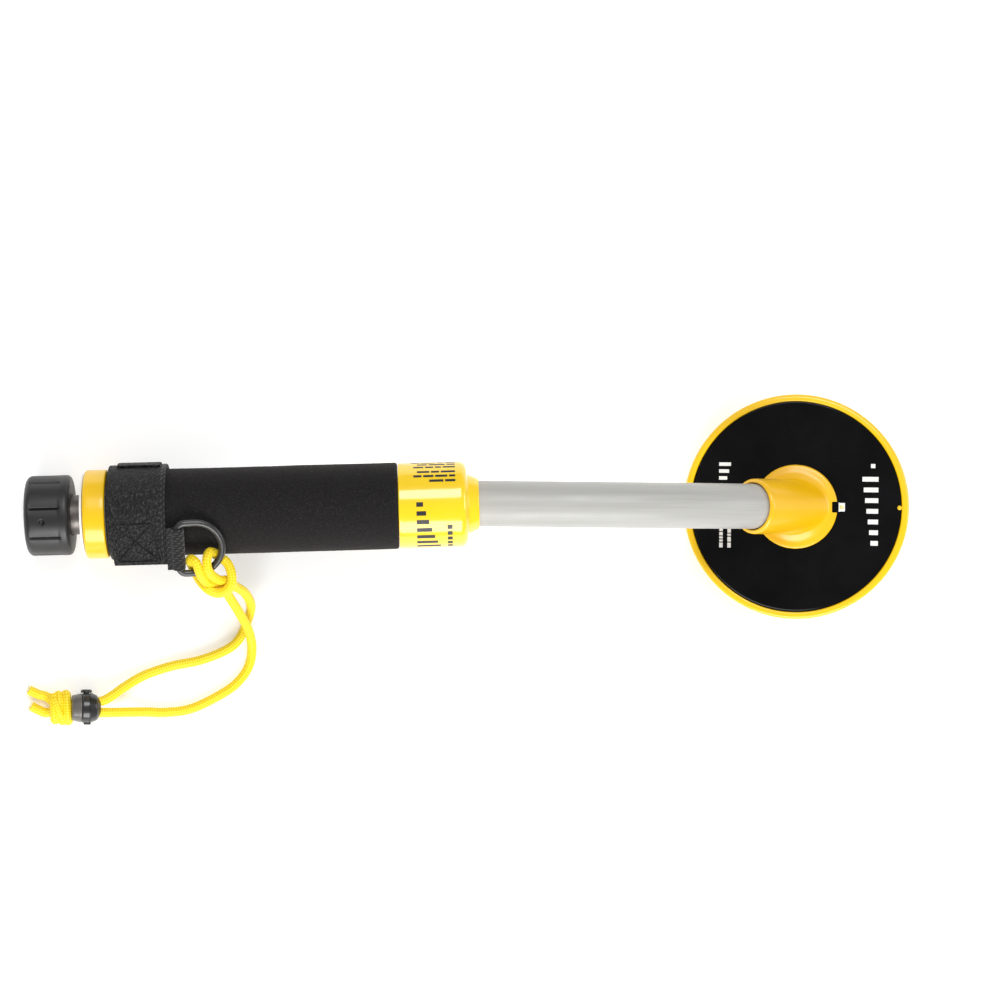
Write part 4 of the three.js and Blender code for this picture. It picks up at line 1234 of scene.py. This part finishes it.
def cord_lock(paints):
    """A round lock: a black band behind a grey cup, two cord holes, and a spring button across it."""
    centre = Matrix.Translation(Vector(LOCK_CENTRE) * MM)
    across = centre @ Matrix.Rotation(math.pi / 2, 4, "Z")
    band = [(-2.0, 0, 0), (-2.0, 7.2, 0.7), (1.6, 7.3, 2.4), (5.0, 6.0, 3.0), (6.8, 3.4, 1.0), (6.8, 0, 0)]
    seam = lambda along, angle, r: r - (0.22 if abs(along - 1.5) < 0.22 and r > 6 else 0)
    body = lathe("visual_cord_lock", centre, denser(filleted(band), 0.3), 128, paints["lock"], shape=seam)
    cup = [
        (-6.8, 3.6, 0), (-6.8, 5.9, 0.8), (-2.1, 7.0, 0.4), (-2.1, 3.2, 0), (-4.6, 3.2, 0.6),
        (-5.0, 3.6, 0.3),
    ]
    shell = lathe("visual_lock_cup", centre, denser(filleted(cup), 0.5), 128, paints["cup"])
    for part in (body, shell):
        slot = box("slot", centre, (-9, -4.7, -2.5), (9, 4.7, 2.5), paints["lock"], 2.2, 5)
        well = lathe("well", across, [(-6, 0), (-6, LOCK_WELL), (12, LOCK_WELL), (12, 0)], 64, paints["lock"])
        carved(part, slot, well)
    lug = box("lug", centre, (-1.2, -8.0, -1.6), (2.2, -6.2, 1.6), paints["lock"], 0.5)
    body = joined(body, lug)
    settled(body, "detector", "lock_black", "cord_lock_body")
    settled(shell, "detector", "lock_black")
    cap = [(-3.0, 0, 0), (-3.0, LOCK_BUTTON, 0.1), (8.7, LOCK_BUTTON, 0.9), (8.7, 0, 0)]
    button = lathe("visual_lock_button", across, filleted(cap), 64, paints["lock"])
    window = box("window", centre, (-6, -6, -2.5), (6, 7.2, 2.5), paints["lock"], 0)
    carved(button, window)
    settled(button, "lock_button", "lock_black", "cord_lock_plunger")
    return body, button


# ---------------------------------------------------------------- paints, and the CAD nodes that show
def paints():
    yellow = (0.86, 0.52, 0.0)
    return {
        "shell": moulded("shell_yellow", yellow, 0.30, coat=0.3),
        "boss": moulded("boss_yellow", (0.84, 0.47, 0.001), 0.33, coat=0.25),
        "label": moulded("label_yellow", (0.90, 0.60, 0.003), 0.20, coat=0.7),
        "disc": epoxy_black(),
        "pipe": pipe_grey(),
        "white": moulded("white_plastic", (0.78, 0.78, 0.76), 0.4),
        "knob": moulded("knob_black", (0.010, 0.010, 0.0105), 0.42, grain=0.00005, wear=0.2, scale=1300),
        "lock": moulded("lock_black", (0.012, 0.012, 0.013), 0.3, coat=0.3, wear=0.2),
        "cup": moulded("lock_cup", (0.115, 0.105, 0.095), 0.35, coat=0.3, wear=0.3),
        "component": moulded("component_black", (0.015, 0.015, 0.016), 0.45, wear=0.2),
        "rubber": moulded("rubber_black", (0.012, 0.012, 0.012), 0.6, wear=0.25),
        "case": moulded("battery_case", (0.05, 0.06, 0.09), 0.3, coat=0.4),
        "foam": foam_black(),
        "strap": strap_fabric(),
        "webbing": webbing("webbing_black", (0.015, 0.0145, 0.0145)),
        "thread": moulded("thread_black", (0.004, 0.004, 0.004), 0.75, wear=0.3),
        "cord": cord_yellow(),
        "fray": moulded("cut_fibres", (0.86, 0.80, 0.52), 0.6),
        "wire": coated_wire(),
        "steel": metal("steel", (0.17, 0.152, 0.142), 0.42, (3, 1, 1), 160, 0.10),
        "brass": metal("brass", (0.72, 0.50, 0.18), 0.3, (1, 1, 1)),
        "copper": copper_wire(),
        "board": board("board_green"),
        "print_white": ink("print_white", (0.80, 0.80, 0.78)),
        "print_black": ink("print_black", (0.012, 0.012, 0.012)),
        "lens": lens(),
    }


NODE_PAINTS = {
    "white": ("coil_former", "handle_tube", "bulkhead", "end_plug"),
    "copper": ("coil_winding",),
    "rubber": ("coil_lead", "plug_o_ring_1", "plug_o_ring_2"),
    "board": ("main_board",),
    "component": ("control_chip", "pulse_capacitor", "buzzer", "battery_carrier", "contact_disc"),
    "steel": ("vibration_motor", "motor_weight", "knob_set_screw", "cord_lock_spring"),
    "brass": ("bulkhead_pin_1", "bulkhead_pin_2", "thread_bush", "contact_spring_1", "contact_spring_2"),
    "case": ("battery",),
}


def finish_nodes(paints):
    for key, names in NODE_PAINTS.items():
        for name in names:
            materials = frame["nodes"][name].data.materials
            materials.clear()
            materials.append(paints[key])


studio()
PAINTS = paints()
lanyard(PAINTS)
d_ring(PAINTS["wire"])
webbing_loop(PAINTS["webbing"])
strap(PAINTS)
coil_shell(PAINTS["shell"])
coil_disc(PAINTS["disc"])
disc_marks(PAINTS["print_white"])
boss(PAINTS["boss"])
indicator(PAINTS)
shaft(PAINTS["pipe"])
coupling(PAINTS["label"])
label(PAINTS["print_black"])
grip(PAINTS["foam"])
collar(PAINTS["shell"])
knob(PAINTS["knob"])
shank(PAINTS["steel"])
finish_nodes(PAINTS)
